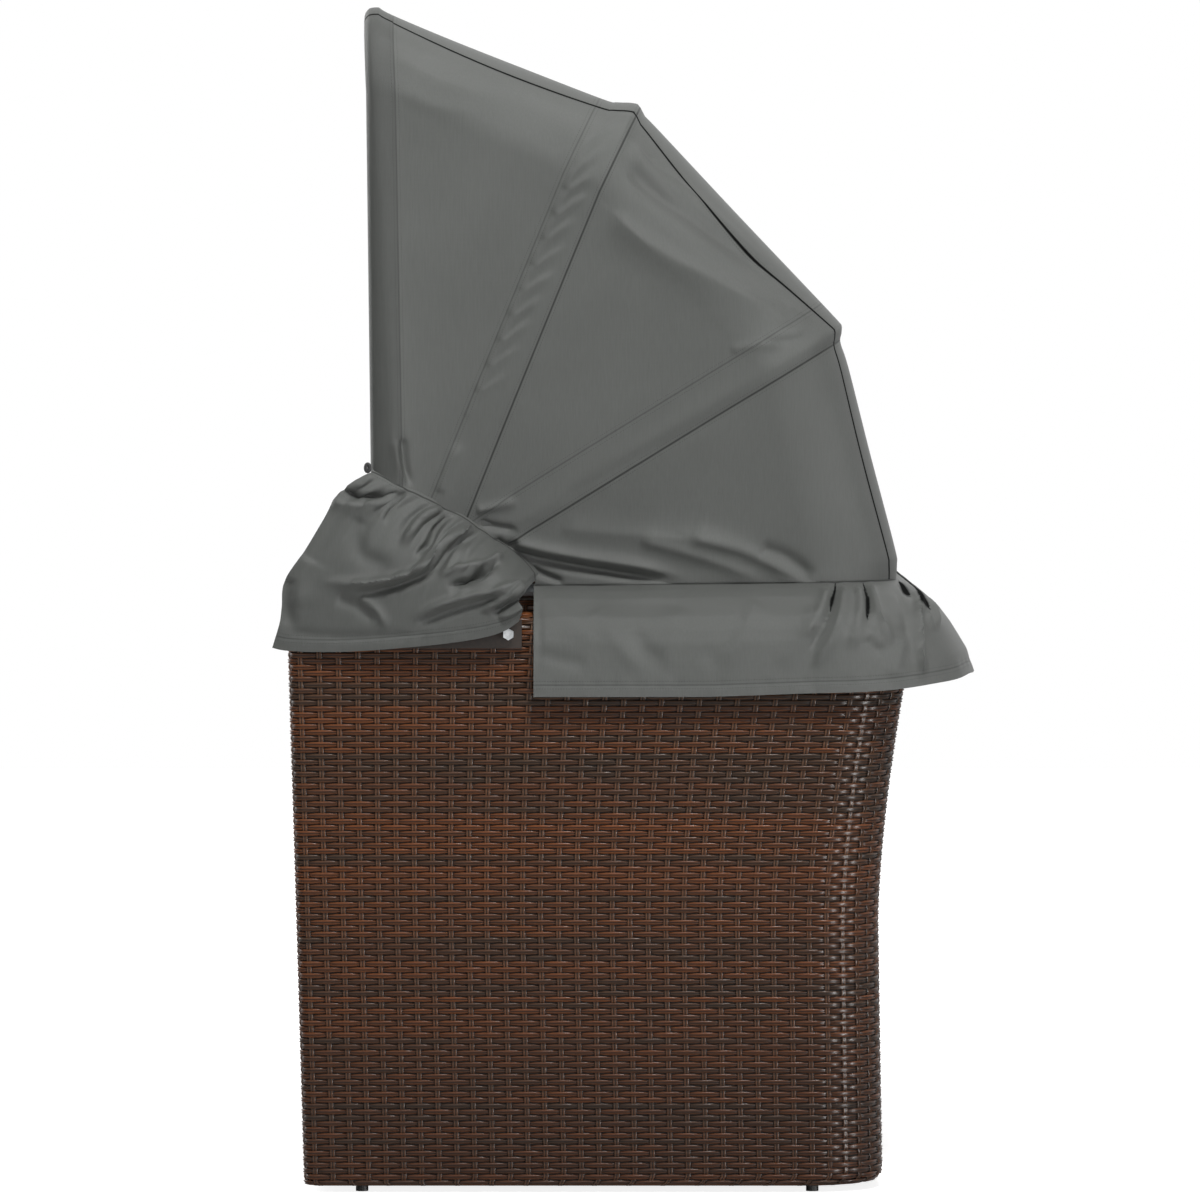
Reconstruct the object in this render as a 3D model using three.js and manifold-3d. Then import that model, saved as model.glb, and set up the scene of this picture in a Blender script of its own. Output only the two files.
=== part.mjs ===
import * as THREE from 'three';
import { mergeVertices } from 'three/addons/utils/BufferGeometryUtils.js';
import Module from 'manifold-3d';

// Outdoor daybed with a woven base and a folding canopy on four nested hoops.
// Millimetres, +Z up. The front faces -Y and the back is +Y. While it is built, Y is zero at the
// front foot of the woven base and X is zero on the centre plane; the group is centred at the end.

const wasm = await Module();
wasm.setup();

// Woven base
const baseWidth = 1350;
const baseDepth = 697;
const armThickness = 90;
const armTop = 694;
const armEdgeRadius = 30;
const frontEdgeRadius = 14;
const leastEdgeRadius = 1;
const frontLean = 20;
const rearCornerRadius = 80;
const cornerReach = 112;
const waistHeight = 320;
const waistInset = 5;
const rearFlare = 43;
const flareExponentShare = 1.6;
const bottomRearRadius = 16;
const bottomFrontRadius = 6;
const skinThickness = 8;

// Clearances
const fitGap = 0.3;
const cutOverrun = 20;

// Seat
const deckHeight = 300;
const deckThickness = 10;
const deckNoseRadius = 4;
const apronReturn = 30;
const railDiameter = 25;
const bearerInset = 190;

// Frame tubes inside the woven walls. A tube that runs into another is a little slimmer.
const frameRailInset = 25;
const rearPostSetback = 70;
const frontPostSetback = 45;
const postShare = 0.98;
const spreaderShare = 0.96;
const returnShare = 0.97;

// Glide feet
const footHeight = 8;
const footDiameter = 15;
const footStemDiameter = 9;
const footStemLength = 10;
const frontFootSetback = 71;
const rearFootSetback = 86;

// Canopy pivot and its bracket
const pivotSetback = 121;
const pivotRise = 22;
const pivotBoltDiameter = 8;
const holeClearance = 0.6;
const bracketThickness = 5;
const bracketEarRadius = 22;
const innerEarRadius = 19.8;
const bracketFootHeight = 34;
const bracketStrapWidth = 40;
const bracketStrapThickness = 4;
const bracketBoltDrop = 25;
const bracketBoltSetback = 247;
const bracketBoltSpacing = 106;
const bracketBoltMargin = 16;
const bracketBoltDiameter = 8;
const bracketBoltLength = 42;
const boltHeadAcross = 14;
const boltHeadHeight = 5.5;

// Hoops, from the fixed one at the rear to the one over the front. The angles are taken at the pivot,
// from level and rearward. A reach runs from the pivot to the crown of the cloth over the hoop, and
// each hoop reaches further than the fixed one by its own gain.
const hoopTubeDiameter = 19;
const hoopPitch = 21;
const hoopTail = 14;
const hoopBendRadius = 90;
const outerLegInset = 11;
const fabricLift = 4;
const rearHoopOverhang = 18;
const thirdHoopGain = 16;
const secondHoopGain = 47;
const frontHoopGain = 110;
const rearSeamRadius = 157;
const thirdSeamRadius = 160;
const secondSeamRadius = 127;
const frontSeamRadius = 148;
const rearHoopAngle = 0.6;
const thirdHoopAngle = 31.3;
const secondHoopAngle = 64.5;
const frontHoopAngle = 92.5;

// Pivot washers
const washerDiameter = 22;
const washerPlay = 0.3;

// Saddles that carry the rear hoop on the back
const saddleWidth = 34;
const saddleDepth = 30;
const saddleInset = 275;
const saddleGrip = 5;

// Canopy cloth
const clothThickness = 2.4;
const gorePanelSag = 9;
const seamGap = 1.6;
const rearSeamLift = 8;
const flapSeamGap = 2.3;

// Rear valance
const valanceSideDrop = 136;
const valanceBackDrop = 106;
const valanceSideReach = 74;
const valanceBackReach = 84;
const valanceCornerSwell = 17;
const valanceFoldDepth = 5;
const valanceFoldPitch = 118;
const sideDropShares = [0, 0.16, 0.36, 0.6, 1];
const sideReachShares = [0, 0.52, 0.9, 1, 1];
const backReachShares = [0, 0.4, 0.58, 0.8, 1];

// Front flaps, seen from the side and measured from the pivot
const flapFrontReach = 155;
const flapRearReach = 138;
const flapFrontDrop = 63;
const flapRearDrop = 20;
const flapHemSag = 18;
const flapBulge = 30;
const flapStandOff = 21;
const flapFoldDepth = 5;
const flapFoldCount = 5;
const flapSpreadShare = 0.5;

// Cushions
const seatCushionHeight = 105;
const backCushionThickness = 130;
const backCushionHeight = 285;
const cushionGap = 2;
const backCushionGap = 0.6;
const backCushionDrop = 12.6;
const cushionSidePull = 9;
const cushionRoll = 8;
const cushionEdgeShare = 0.62;

// Tabs that tie the flaps to the front hoop
const tabWidth = 12;
const tabLength = 26;
const tabThickness = 2;

// Facets
const railSides = 10;
const tubeSides = 12;
const holeSides = 12;
const hexSides = 6;
const washerSides = 14;
const footSides = 16;
const saddleBoreSides = 24;
const edgeSteps = 3;
const cornerSteps = 8;
const roundingDegrees = [30, 60, 90];
const flareLevelShares = [0, 1 / 3, 2 / 3, 1];
const tubeSteps = { leg: 1, bend: 8, bar: 1 };
const coverSteps = { leg: 3, bend: 6, bar: 6 };
const skirtSteps = { leg: 12, bend: 6, bar: 14 };
const goreRows = 4;
const flapRows = 6;
const flapColumns = 24;
const cushionSteps = 12;

// Derived places
const sideX = baseWidth / 2;
const innerX = sideX - armThickness;
const splitX = sideX - cornerReach;
const tubeRadius = hoopTubeDiameter / 2;
const railRadius = railDiameter / 2;
const deckUnderside = deckHeight - deckThickness;
const rearFootY = baseDepth - rearFootSetback;
const pivotHeight = armTop + pivotRise;
const bracketBoltHeight = armTop - bracketBoltDrop;
const pivotPoint = new THREE.Vector3(0, pivotSetback, pivotHeight);
const coverLift = tubeRadius + fabricLift;
const rearReach = baseDepth - pivotSetback + rearHoopOverhang;
const hoops = [
  { name: 'rear_hoop', angle: rearHoopAngle, gain: 0, seamRadius: rearSeamRadius },
  { name: 'third_hoop', angle: thirdHoopAngle, gain: thirdHoopGain, seamRadius: thirdSeamRadius },
  { name: 'second_hoop', angle: secondHoopAngle, gain: secondHoopGain, seamRadius: secondSeamRadius },
  { name: 'front_hoop', angle: frontHoopAngle, gain: frontHoopGain, seamRadius: frontSeamRadius },
];
const legX = (index) => sideX - outerLegInset - (hoops.length - 1 - index) * hoopPitch;

const finishes = {
  wicker: { color: '#5d4436', roughness: 0.6, metalness: 0 },
  steel: { color: '#26282a', roughness: 0.5, metalness: 0.6 },
  zinc: { color: '#b9bcbe', roughness: 0.35, metalness: 1 },
  plastic: { color: '#141414', roughness: 0.55, metalness: 0 },
  cloth: { color: '#5c5e5b', roughness: 0.9, metalness: 0 },
  cushion: { color: '#62645f', roughness: 0.95, metalness: 0 },
};

const daybed = new THREE.Group();

function place(name, geometry, finish) {
  const mesh = new THREE.Mesh(geometry, new THREE.MeshStandardMaterial(finishes[finish]));
  mesh.name = name;
  daybed.add(mesh);
  return mesh;
}

// Solids

function weld(geometry) {
  const bare = geometry.clone();
  bare.deleteAttribute('normal');
  bare.deleteAttribute('uv');
  return mergeVertices(bare);
}

function toManifold(geometry) {
  const welded = weld(geometry);
  return new wasm.Manifold(new wasm.Mesh({
    numProp: 3,
    vertProperties: new Float32Array(welded.attributes.position.array),
    triVerts: new Uint32Array(welded.index.array),
  }));
}

function fromManifold(solid) {
  const mesh = solid.getMesh();
  const geometry = new THREE.BufferGeometry();
  geometry.setAttribute('position', new THREE.BufferAttribute(mesh.vertProperties, 3));
  geometry.setIndex(new THREE.BufferAttribute(mesh.triVerts, 1));
  return geometry;
}

const cut = (body, ...tools) => fromManifold(
  tools.reduce((left, tool) => left.subtract(toManifold(tool)), toManifold(body)),
);

const join = (...parts) => fromManifold(
  parts.slice(1).reduce((sum, part) => sum.add(toManifold(part)), toManifold(parts[0])),
);

function geometryOf(points, faces) {
  const geometry = new THREE.BufferGeometry();
  const numbers = points.flatMap((p) => [p.x, p.y, p.z]);
  geometry.setAttribute('position', new THREE.Float32BufferAttribute(numbers, 3));
  geometry.setIndex(faces.flat());
  return geometry;
}

function mirrored(geometry) {
  const copy = geometry.clone();
  copy.scale(-1, 1, 1);
  const index = copy.index.array;
  for (let i = 0; i < index.length; i += 3) {
    [index[i], index[i + 1]] = [index[i + 1], index[i]];
  }
  return copy;
}

// A closed body through rings of equally many points; its two ends are triangulated flat.
// Rings run anticlockwise as seen from the last ring.
function loft(rings) {
  const count = rings[0].length;
  const faces = [];
  for (let level = 0; level < rings.length - 1; level += 1) {
    for (let i = 0; i < count; i += 1) {
      const a = level * count + i;
      const b = level * count + ((i + 1) % count);
      faces.push([a, b, b + count], [a, b + count, a + count]);
    }
  }
  const ends = [[0, rings[0]], [(rings.length - 1) * count, rings[rings.length - 1]]];
  for (const [start, ring] of ends) {
    const normal = ringNormal(ring);
    const across = new THREE.Vector3().subVectors(ring[1], ring[0]).normalize();
    const up = new THREE.Vector3().crossVectors(normal, across);
    const flat = ring.map((p) => new THREE.Vector2(p.dot(across), p.dot(up)));
    for (const [a, b, c] of THREE.ShapeUtils.triangulateShape(flat, [])) {
      faces.push(start === 0 ? [start + a, start + c, start + b] : [start + a, start + b, start + c]);
    }
  }
  return geometryOf(rings.flat(), faces);
}

function ringNormal(ring) {
  const normal = new THREE.Vector3();
  for (let i = 0; i < ring.length; i += 1) {
    normal.add(new THREE.Vector3().crossVectors(ring[i], ring[(i + 1) % ring.length]));
  }
  return normal.normalize();
}

// A sheet of even thickness on a grid of points, rows by columns.
function sheet(rows, thickness) {
  const rowCount = rows.length;
  const columnCount = rows[0].length;
  const normalAt = (r, c) => {
    const along = new THREE.Vector3().subVectors(
      rows[r][Math.min(c + 1, columnCount - 1)],
      rows[r][Math.max(c - 1, 0)],
    );
    const down = new THREE.Vector3().subVectors(
      rows[Math.min(r + 1, rowCount - 1)][c],
      rows[Math.max(r - 1, 0)][c],
    );
    return along.cross(down).normalize();
  };
  const layer = (side) => rows.flatMap((row, r) => row.map(
    (point, c) => point.clone().addScaledVector(normalAt(r, c), (side * thickness) / 2),
  ));
  const points = [...layer(-1), ...layer(1)];
  const lower = (r, c) => r * columnCount + c;
  const upper = (r, c) => rowCount * columnCount + lower(r, c);
  const faces = [];
  for (let r = 0; r < rowCount - 1; r += 1) {
    for (let c = 0; c < columnCount - 1; c += 1) {
      faces.push([upper(r, c), upper(r, c + 1), upper(r + 1, c + 1)]);
      faces.push([upper(r, c), upper(r + 1, c + 1), upper(r + 1, c)]);
      faces.push([lower(r, c), lower(r + 1, c + 1), lower(r, c + 1)]);
      faces.push([lower(r, c), lower(r + 1, c), lower(r + 1, c + 1)]);
    }
  }
  const rim = [];
  for (let c = 0; c < columnCount - 1; c += 1) rim.push([0, c]);
  for (let r = 0; r < rowCount - 1; r += 1) rim.push([r, columnCount - 1]);
  for (let c = columnCount - 1; c > 0; c -= 1) rim.push([rowCount - 1, c]);
  for (let r = rowCount - 1; r > 0; r -= 1) rim.push([r, 0]);
  rim.forEach(([r, c], i) => {
    const [nextR, nextC] = rim[(i + 1) % rim.length];
    faces.push([lower(r, c), lower(nextR, nextC), upper(nextR, nextC)]);
    faces.push([lower(r, c), upper(nextR, nextC), upper(r, c)]);
  });
  return geometryOf(points, faces);
}

const arcPoints = (cx, cy, radius, from, to, steps) => Array.from({ length: steps + 1 }, (_, i) => {
  const angle = THREE.MathUtils.degToRad(from + ((to - from) * i) / steps);
  return [cx + radius * Math.cos(angle), cy + radius * Math.sin(angle)];
});

// A straight round bar between two points.
function bar(from, to, radius, sides = railSides) {
  const axis = new THREE.Vector3().subVectors(to, from);
  const geometry = weld(new THREE.CylinderGeometry(radius, radius, axis.length(), sides));
  geometry.applyQuaternion(new THREE.Quaternion().setFromUnitVectors(
    new THREE.Vector3(0, 1, 0),
    axis.clone().normalize(),
  ));
  const middle = new THREE.Vector3().addVectors(from, to).multiplyScalar(0.5);
  return geometry.translate(middle.x, middle.y, middle.z);
}

const point = (x, y, z) => new THREE.Vector3(x, y, z);

// A block between two corners.
function block(low, high) {
  const size = new THREE.Vector3().subVectors(high, low);
  const middle = new THREE.Vector3().addVectors(low, high).multiplyScalar(0.5);
  return weld(new THREE.BoxGeometry(size.x, size.y, size.z)).translate(middle.x, middle.y, middle.z);
}

// An outline in Y and Z, drawn out along X.
function drawnAlongX(shape, fromX, toX, curveSegments = cornerSteps) {
  const depth = toX - fromX;
  const geometry = new THREE.ExtrudeGeometry(shape, { depth, bevelEnabled: false, curveSegments });
  geometry.applyMatrix4(new THREE.Matrix4().makeBasis(point(0, 1, 0), point(0, 0, 1), point(1, 0, 0)));
  return weld(geometry.translate(fromX, 0, 0));
}

// Side outline of the base

function frontY(z) {
  const lean = -frontLean * ((z - footHeight) / (armTop - footHeight));
  const up = Math.max(0, bottomFrontRadius - (z - footHeight));
  return lean + bottomFrontRadius - Math.sqrt(Math.max(0, bottomFrontRadius ** 2 - up ** 2));
}

function rearY(z) {
  const up = Math.max(0, bottomRearRadius - (z - footHeight));
  const bottomCurve = bottomRearRadius - Math.sqrt(Math.max(0, bottomRearRadius ** 2 - up ** 2));
  if (z < waistHeight) {
    const share = Math.max(0, (z - footHeight) / (waistHeight - footHeight));
    return baseDepth - waistInset * share - bottomCurve;
  }
  const share = (z - waistHeight) / (armTop - waistHeight);
  return baseDepth - waistInset + (rearFlare + waistInset) * share ** flareExponentShare;
}

// Heights at which a wall's section is taken, with the inset of its rounded top.
function wallLevels(bottom, top, radius) {
  const shoulder = top - radius;
  const straight = [
    bottom,
    footHeight + bottomFrontRadius,
    footHeight + bottomRearRadius,
    ...flareLevelShares.map((share) => THREE.MathUtils.lerp(waistHeight, shoulder, share)),
  ].map((z) => ({ z, inset: 0 }));
  const rounded = roundingDegrees.map((degrees) => {
    const angle = THREE.MathUtils.degToRad(degrees);
    return { z: shoulder + radius * Math.sin(angle), inset: radius * (1 - Math.cos(angle)) };
  });
  return [...straight, ...rounded];
}

function sideSection(z, offset, endX) {
  const front = frontY(Math.max(z, footHeight)) + offset;
  const rear = rearY(Math.max(z, footHeight));
  const outer = sideX - offset;
  const inner = innerX + offset;
  const edge = Math.max(leastEdgeRadius, frontEdgeRadius - offset);
  const corner = rearCornerRadius - offset;
  return [
    ...arcPoints(inner + edge, front + edge, edge, 180, 270, edgeSteps),
    ...arcPoints(outer - edge, front + edge, edge, 270, 360, edgeSteps),
    ...arcPoints(sideX - rearCornerRadius, rear - rearCornerRadius, corner, 0, 90, cornerSteps),
    [endX, rear - offset],
    [endX, rear - armThickness + offset],
    [inner, rear - armThickness + offset],
  ].map(([x, y]) => point(x, y, z));
}

function sideWall(offset, bottom, endX) {
  const levels = wallLevels(bottom, armTop - offset, armEdgeRadius - offset);
  return loft(levels.map(({ z, inset }) => sideSection(z, offset + inset, endX)));
}

function backSection(z, offset, halfWidth) {
  const rear = rearY(Math.max(z, footHeight));
  return [
    point(-halfWidth, rear - armThickness + offset, z),
    point(halfWidth, rear - armThickness + offset, z),
    point(halfWidth, rear - offset, z),
    point(-halfWidth, rear - offset, z),
  ];
}

function backWall(offset, bottom, halfWidth) {
  const levels = wallLevels(bottom, armTop - offset, armEdgeRadius - offset);
  return loft(levels.map(({ z, inset }) => backSection(z, offset + inset, halfWidth)));
}

// Bracket bolts: head outside the plate, shank through the plate and the skin into the arm rail.

const plateInnerX = sideX + fitGap;
const plateOuterX = plateInnerX + bracketThickness;
const boltYs = [bracketBoltSetback - bracketBoltSpacing, bracketBoltSetback];
const boltHoleRadius = bracketBoltDiameter / 2 + holeClearance;
const boltEndX = plateOuterX - bracketBoltLength;
const outerRailX = sideX - frameRailInset;
const innerRailX = innerX + frameRailInset;
const boltHole = (y, fromX, toX) => bar(
  point(fromX, y, bracketBoltHeight),
  point(toX, y, bracketBoltHeight),
  boltHoleRadius,
  holeSides,
);

function makeSidePanels() {
  const shell = cut(
    sideWall(0, footHeight, splitX),
    sideWall(skinThickness, footHeight - cutOverrun, splitX - cutOverrun),
    ...boltYs.map((y) => boltHole(y, sideX - 2 * skinThickness, sideX + cutOverrun)),
  );
  place('right_side_panel', shell, 'wicker');
  place('left_side_panel', mirrored(shell), 'wicker');
}

function makeBackPanel() {
  const halfWidth = splitX - fitGap;
  place('back_panel', cut(
    backWall(0, footHeight, halfWidth),
    backWall(skinThickness, footHeight - cutOverrun, halfWidth + cutOverrun),
  ), 'wicker');
}

// Seat: a woven apron and deck on steel rails

const apronTop = deckUnderside - fitGap;
const seatHalfWidth = innerX - fitGap;
const frontRailZ = apronTop - skinThickness - fitGap - railRadius;
const frontRailY = frontY(frontRailZ - railRadius) + skinThickness + fitGap + railRadius;
const rearRailY = rearY(deckUnderside) - armThickness - fitGap - railRadius;
const rearRailZ = deckUnderside - fitGap - railRadius;

function makeSeat() {
  const lower = footHeight + bottomFrontRadius;
  const apron = new THREE.Shape([
    [frontY(lower), lower], [frontY(lower) + bottomFrontRadius, footHeight],
    [frontY(lower) + apronReturn, footHeight], [frontY(lower) + apronReturn, footHeight + skinThickness],
    [frontY(lower) + skinThickness, footHeight + skinThickness],
    [frontY(apronTop) + skinThickness, apronTop - skinThickness],
    [frontY(apronTop) + apronReturn, apronTop - skinThickness], [frontY(apronTop) + apronReturn, apronTop],
    [frontY(apronTop), apronTop],
  ].map(([y, z]) => new THREE.Vector2(y, z)));
  place('front_apron', drawnAlongX(apron, -seatHalfWidth, seatHalfWidth), 'wicker');

  const nose = frontY(deckHeight);
  const heel = rearY(deckUnderside) - armThickness - fitGap;
  const deck = new THREE.Shape();
  deck.moveTo(nose + deckNoseRadius, deckUnderside);
  deck.lineTo(heel, deckUnderside);
  deck.lineTo(heel, deckHeight);
  deck.lineTo(nose + deckNoseRadius, deckHeight);
  deck.absarc(nose + deckNoseRadius, deckHeight - deckNoseRadius, deckNoseRadius, Math.PI / 2, Math.PI);
  deck.lineTo(nose, deckUnderside + deckNoseRadius);
  deck.absarc(nose + deckNoseRadius, deckUnderside + deckNoseRadius, deckNoseRadius, Math.PI, Math.PI * 1.5);
  place('seat_deck', drawnAlongX(deck, -seatHalfWidth, seatHalfWidth, edgeSteps), 'wicker');

  place('seat_front_rail', bar(
    point(-seatHalfWidth, frontRailY, frontRailZ),
    point(seatHalfWidth, frontRailY, frontRailZ),
    railRadius,
  ), 'steel');
  place('seat_rear_rail', bar(
    point(-seatHalfWidth, rearRailY, rearRailZ),
    point(seatHalfWidth, rearRailY, rearRailZ),
    railRadius,
  ), 'steel');
  const bearerX = { left: -(innerX - bearerInset), centre: 0, right: innerX - bearerInset };
  for (const [side, x] of Object.entries(bearerX)) {
    place(`${side}_seat_bearer`, bar(
      point(x, frontRailY + railRadius + fitGap, rearRailZ),
      point(x, rearRailY - railRadius - fitGap, rearRailZ),
      railRadius,
    ), 'steel');
  }
}

// Frames: each arm has an outer and an inner ladder of tubes, joined by short spreaders.

const bottomRailZ = footHeight + railRadius;
const backRailY = (z) => rearY(z) - armThickness / 2;

function makeSideFrames() {
  const frontPostY = frontY(footHeight + bottomFrontRadius) + frontPostSetback;
  const rearPostY = baseDepth - rearPostSetback;
  const members = [];
  for (const x of [outerRailX, innerRailX]) {
    for (const z of [bottomRailZ, bracketBoltHeight]) {
      const railEnd = x === innerRailX ? backRailY(z) : rearPostY + railRadius;
      members.push(bar(point(x, frontPostY - railRadius, z), point(x, railEnd, z), railRadius));
    }
    for (const y of [frontPostY, rearPostY]) {
      members.push(bar(
        point(x, y, bottomRailZ),
        point(x, y, bracketBoltHeight),
        railRadius * postShare,
      ));
    }
  }
  for (const z of [bottomRailZ, bracketBoltHeight]) {
    for (const y of [frontPostY, rearPostY]) {
      members.push(bar(point(innerRailX, y, z), point(outerRailX, y, z), railRadius * spreaderShare));
    }
    members.push(bar(
      point(splitX + fitGap, backRailY(z), z),
      point(innerRailX + railRadius, backRailY(z), z),
      railRadius * returnShare,
    ));
  }
  const outerFeet = [frontFootSetback, rearFootY].map((y) => bar(
    point(outerRailX, y, footHeight - cutOverrun),
    point(outerRailX, y, footHeight + footStemLength + fitGap),
    footStemDiameter / 2 + fitGap,
  ));
  const frame = cut(
    join(...members),
    ...outerFeet,
    ...boltYs.map((y) => boltHole(y, boltEndX - fitGap, sideX)),
  );
  place('right_side_frame', frame, 'steel');
  place('left_side_frame', mirrored(frame), 'steel');
}

function makeBackFrame() {
  const halfWidth = splitX - fitGap;
  const members = [bottomRailZ, bracketBoltHeight].map((z) => bar(
    point(-halfWidth, backRailY(z), z),
    point(halfWidth, backRailY(z), z),
    railRadius,
  ));
  for (const share of [-1, 0, 1]) {
    const x = share * (halfWidth - rearPostSetback);
    members.push(bar(
      point(x, backRailY(bottomRailZ), bottomRailZ),
      point(x, backRailY(bracketBoltHeight), bracketBoltHeight),
      railRadius * postShare,
    ));
  }
  place('back_frame', join(...members), 'steel');
}

function makeFeet() {
  const profile = [
    [0, 0], [footDiameter / 2, 0], [footDiameter / 2, footHeight - fitGap],
    [footStemDiameter / 2, footHeight - fitGap], [footStemDiameter / 2, footHeight + footStemLength],
    [0, footHeight + footStemLength],
  ].map(([r, z]) => new THREE.Vector2(r, z));
  const sides = { left: -outerRailX, right: outerRailX };
  const ends = { front: frontFootSetback, rear: rearFootY };
  for (const [side, x] of Object.entries(sides)) {
    for (const [end, y] of Object.entries(ends)) {
      const foot = new THREE.LatheGeometry(profile, footSides).rotateX(Math.PI / 2);
      place(`${end}_${side}_foot`, weld(foot.translate(x, y, 0)), 'plastic');
    }
  }
}

// Hinge brackets: a plate on the arm's outer face, a strap over the arm and an inner ear

const earInnerX = legX(0) - tubeRadius - (hoopPitch - hoopTubeDiameter) - bracketStrapThickness;
const strapZ = armTop + fitGap;

function makeBrackets() {
  const footLow = bracketBoltHeight - bracketFootHeight / 2;
  const footHigh = bracketBoltHeight + bracketFootHeight / 2;
  const frontEdge = boltYs[0] - bracketBoltMargin;
  const rearEdge = boltYs[1] + bracketBoltMargin;
  const outline = new THREE.Shape();
  outline.moveTo(Math.min(frontEdge, pivotSetback - bracketEarRadius), footLow);
  outline.lineTo(rearEdge, footLow);
  outline.lineTo(rearEdge, footHigh);
  outline.lineTo(pivotSetback + bracketEarRadius + bracketBoltMargin, footHigh);
  outline.lineTo(pivotSetback + bracketEarRadius, pivotHeight);
  outline.absarc(pivotSetback, pivotHeight, bracketEarRadius, 0, Math.PI);
  const plate = drawnAlongX(outline, plateInnerX, plateOuterX);
  const ear = new THREE.Shape();
  ear.moveTo(pivotSetback - bracketStrapWidth / 2, strapZ);
  ear.lineTo(pivotSetback + bracketStrapWidth / 2, strapZ);
  ear.lineTo(pivotSetback + innerEarRadius, pivotHeight);
  ear.absarc(pivotSetback, pivotHeight, innerEarRadius, 0, Math.PI);
  const strapEndX = plateInnerX + bracketThickness / 2;
  const strap = block(
    point(earInnerX, pivotSetback - bracketStrapWidth / 2, strapZ),
    point(strapEndX, pivotSetback + bracketStrapWidth / 2, strapZ + bracketStrapThickness),
  );
  const pivotHole = bar(
    point(earInnerX - cutOverrun, pivotSetback, pivotHeight),
    point(plateOuterX + cutOverrun, pivotSetback, pivotHeight),
    pivotBoltDiameter / 2 + holeClearance,
    holeSides,
  );
  const bracket = cut(
    join(plate, strap, drawnAlongX(ear, earInnerX, earInnerX + bracketStrapThickness)),
    pivotHole,
    ...boltYs.map((y) => boltHole(y, sideX - cutOverrun, plateOuterX + cutOverrun)),
  );
  place('right_hinge_bracket', bracket, 'steel');
  place('left_hinge_bracket', mirrored(bracket), 'steel');
}

// A bar along the canopy's pivot line.
const onPivot = (fromX, toX, radius, sides) => bar(
  point(fromX, pivotSetback, pivotHeight),
  point(toX, pivotSetback, pivotHeight),
  radius,
  sides,
);

// A bolt along X with a six-sided head; its head sits against the face at headX.
function boltGeometry(y, z, headX, endX, diameter) {
  const seatX = headX + fitGap;
  return join(
    bar(point(seatX, y, z), point(seatX + boltHeadHeight, y, z), boltHeadAcross / 2, hexSides),
    bar(point(endX, y, z), point(seatX + boltHeadHeight / 2, y, z), diameter / 2, tubeSides),
  );
}

function makeFasteners() {
  ['front', 'rear'].forEach((end, i) => {
    const bolt = boltGeometry(boltYs[i], bracketBoltHeight, plateOuterX, boltEndX, bracketBoltDiameter);
    place(`right_bracket_${end}_bolt`, bolt, 'zinc');
    place(`left_bracket_${end}_bolt`, mirrored(bolt), 'zinc');
  });
  const nutOuterX = earInnerX - fitGap;
  const nutInnerX = nutOuterX - pivotBoltDiameter;
  const pivotEndX = nutInnerX - fitGap;
  const pivotBolt = boltGeometry(pivotSetback, pivotHeight, plateOuterX, pivotEndX, pivotBoltDiameter);
  place('right_pivot_bolt', pivotBolt, 'zinc');
  place('left_pivot_bolt', mirrored(pivotBolt), 'zinc');
  const nut = cut(
    onPivot(nutInnerX, nutOuterX, boltHeadAcross / 2, hexSides),
    onPivot(nutInnerX - cutOverrun, nutOuterX + cutOverrun, pivotBoltDiameter / 2 + fitGap, holeSides),
  );
  place('right_pivot_nut', nut, 'zinc');
  place('left_pivot_nut', mirrored(nut), 'zinc');
}

function makeWashers() {
  const faces = [earInnerX + bracketStrapThickness];
  hoops.forEach((_, i) => faces.push(legX(i) - tubeRadius, legX(i) + tubeRadius));
  faces.push(plateInnerX);
  const names = ['inner', 'rear', 'third', 'second', 'outer'];
  names.forEach((name, i) => {
    const from = faces[2 * i] + washerPlay;
    const to = faces[2 * i + 1] - washerPlay;
    const washer = cut(
      onPivot(from, to, washerDiameter / 2, washerSides),
      onPivot(from - cutOverrun, to + cutOverrun, pivotBoltDiameter / 2 + holeClearance, holeSides),
    );
    place(`right_pivot_washer_${name}`, washer, 'plastic');
    place(`left_pivot_washer_${name}`, mirrored(washer), 'plastic');
  });
}

// Hoops. A point on a hoop is given by X and by its distance from the pivot along the legs.

function onHoop(x, along, angle) {
  const turn = THREE.MathUtils.degToRad(angle);
  return point(x, pivotSetback + along * Math.cos(turn), pivotHeight + along * Math.sin(turn));
}

// The route over a hoop from its right leg to its left, at some lift outside the tube's middle.
function hoopRoute(index, lift, start, steps) {
  const reach = rearReach + hoops[index].gain - coverLift + lift;
  const side = legX(index) + lift;
  const radius = hoopBendRadius + lift;
  const bendX = side - radius;
  const bendAlong = reach - radius;
  const half = [];
  for (let i = 0; i < steps.leg; i += 1) {
    half.push([side, THREE.MathUtils.lerp(start, bendAlong, i / steps.leg)]);
  }
  half.push(...arcPoints(bendX, bendAlong, radius, 0, 90, steps.bend));
  const crossing = [];
  for (let i = 1; i < steps.bar; i += 1) {
    crossing.push([THREE.MathUtils.lerp(bendX, -bendX, i / steps.bar), reach]);
  }
  const otherHalf = [...half].reverse().map(([x, along]) => [-x, along]);
  return [...half, ...crossing, ...otherHalf];
}

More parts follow.
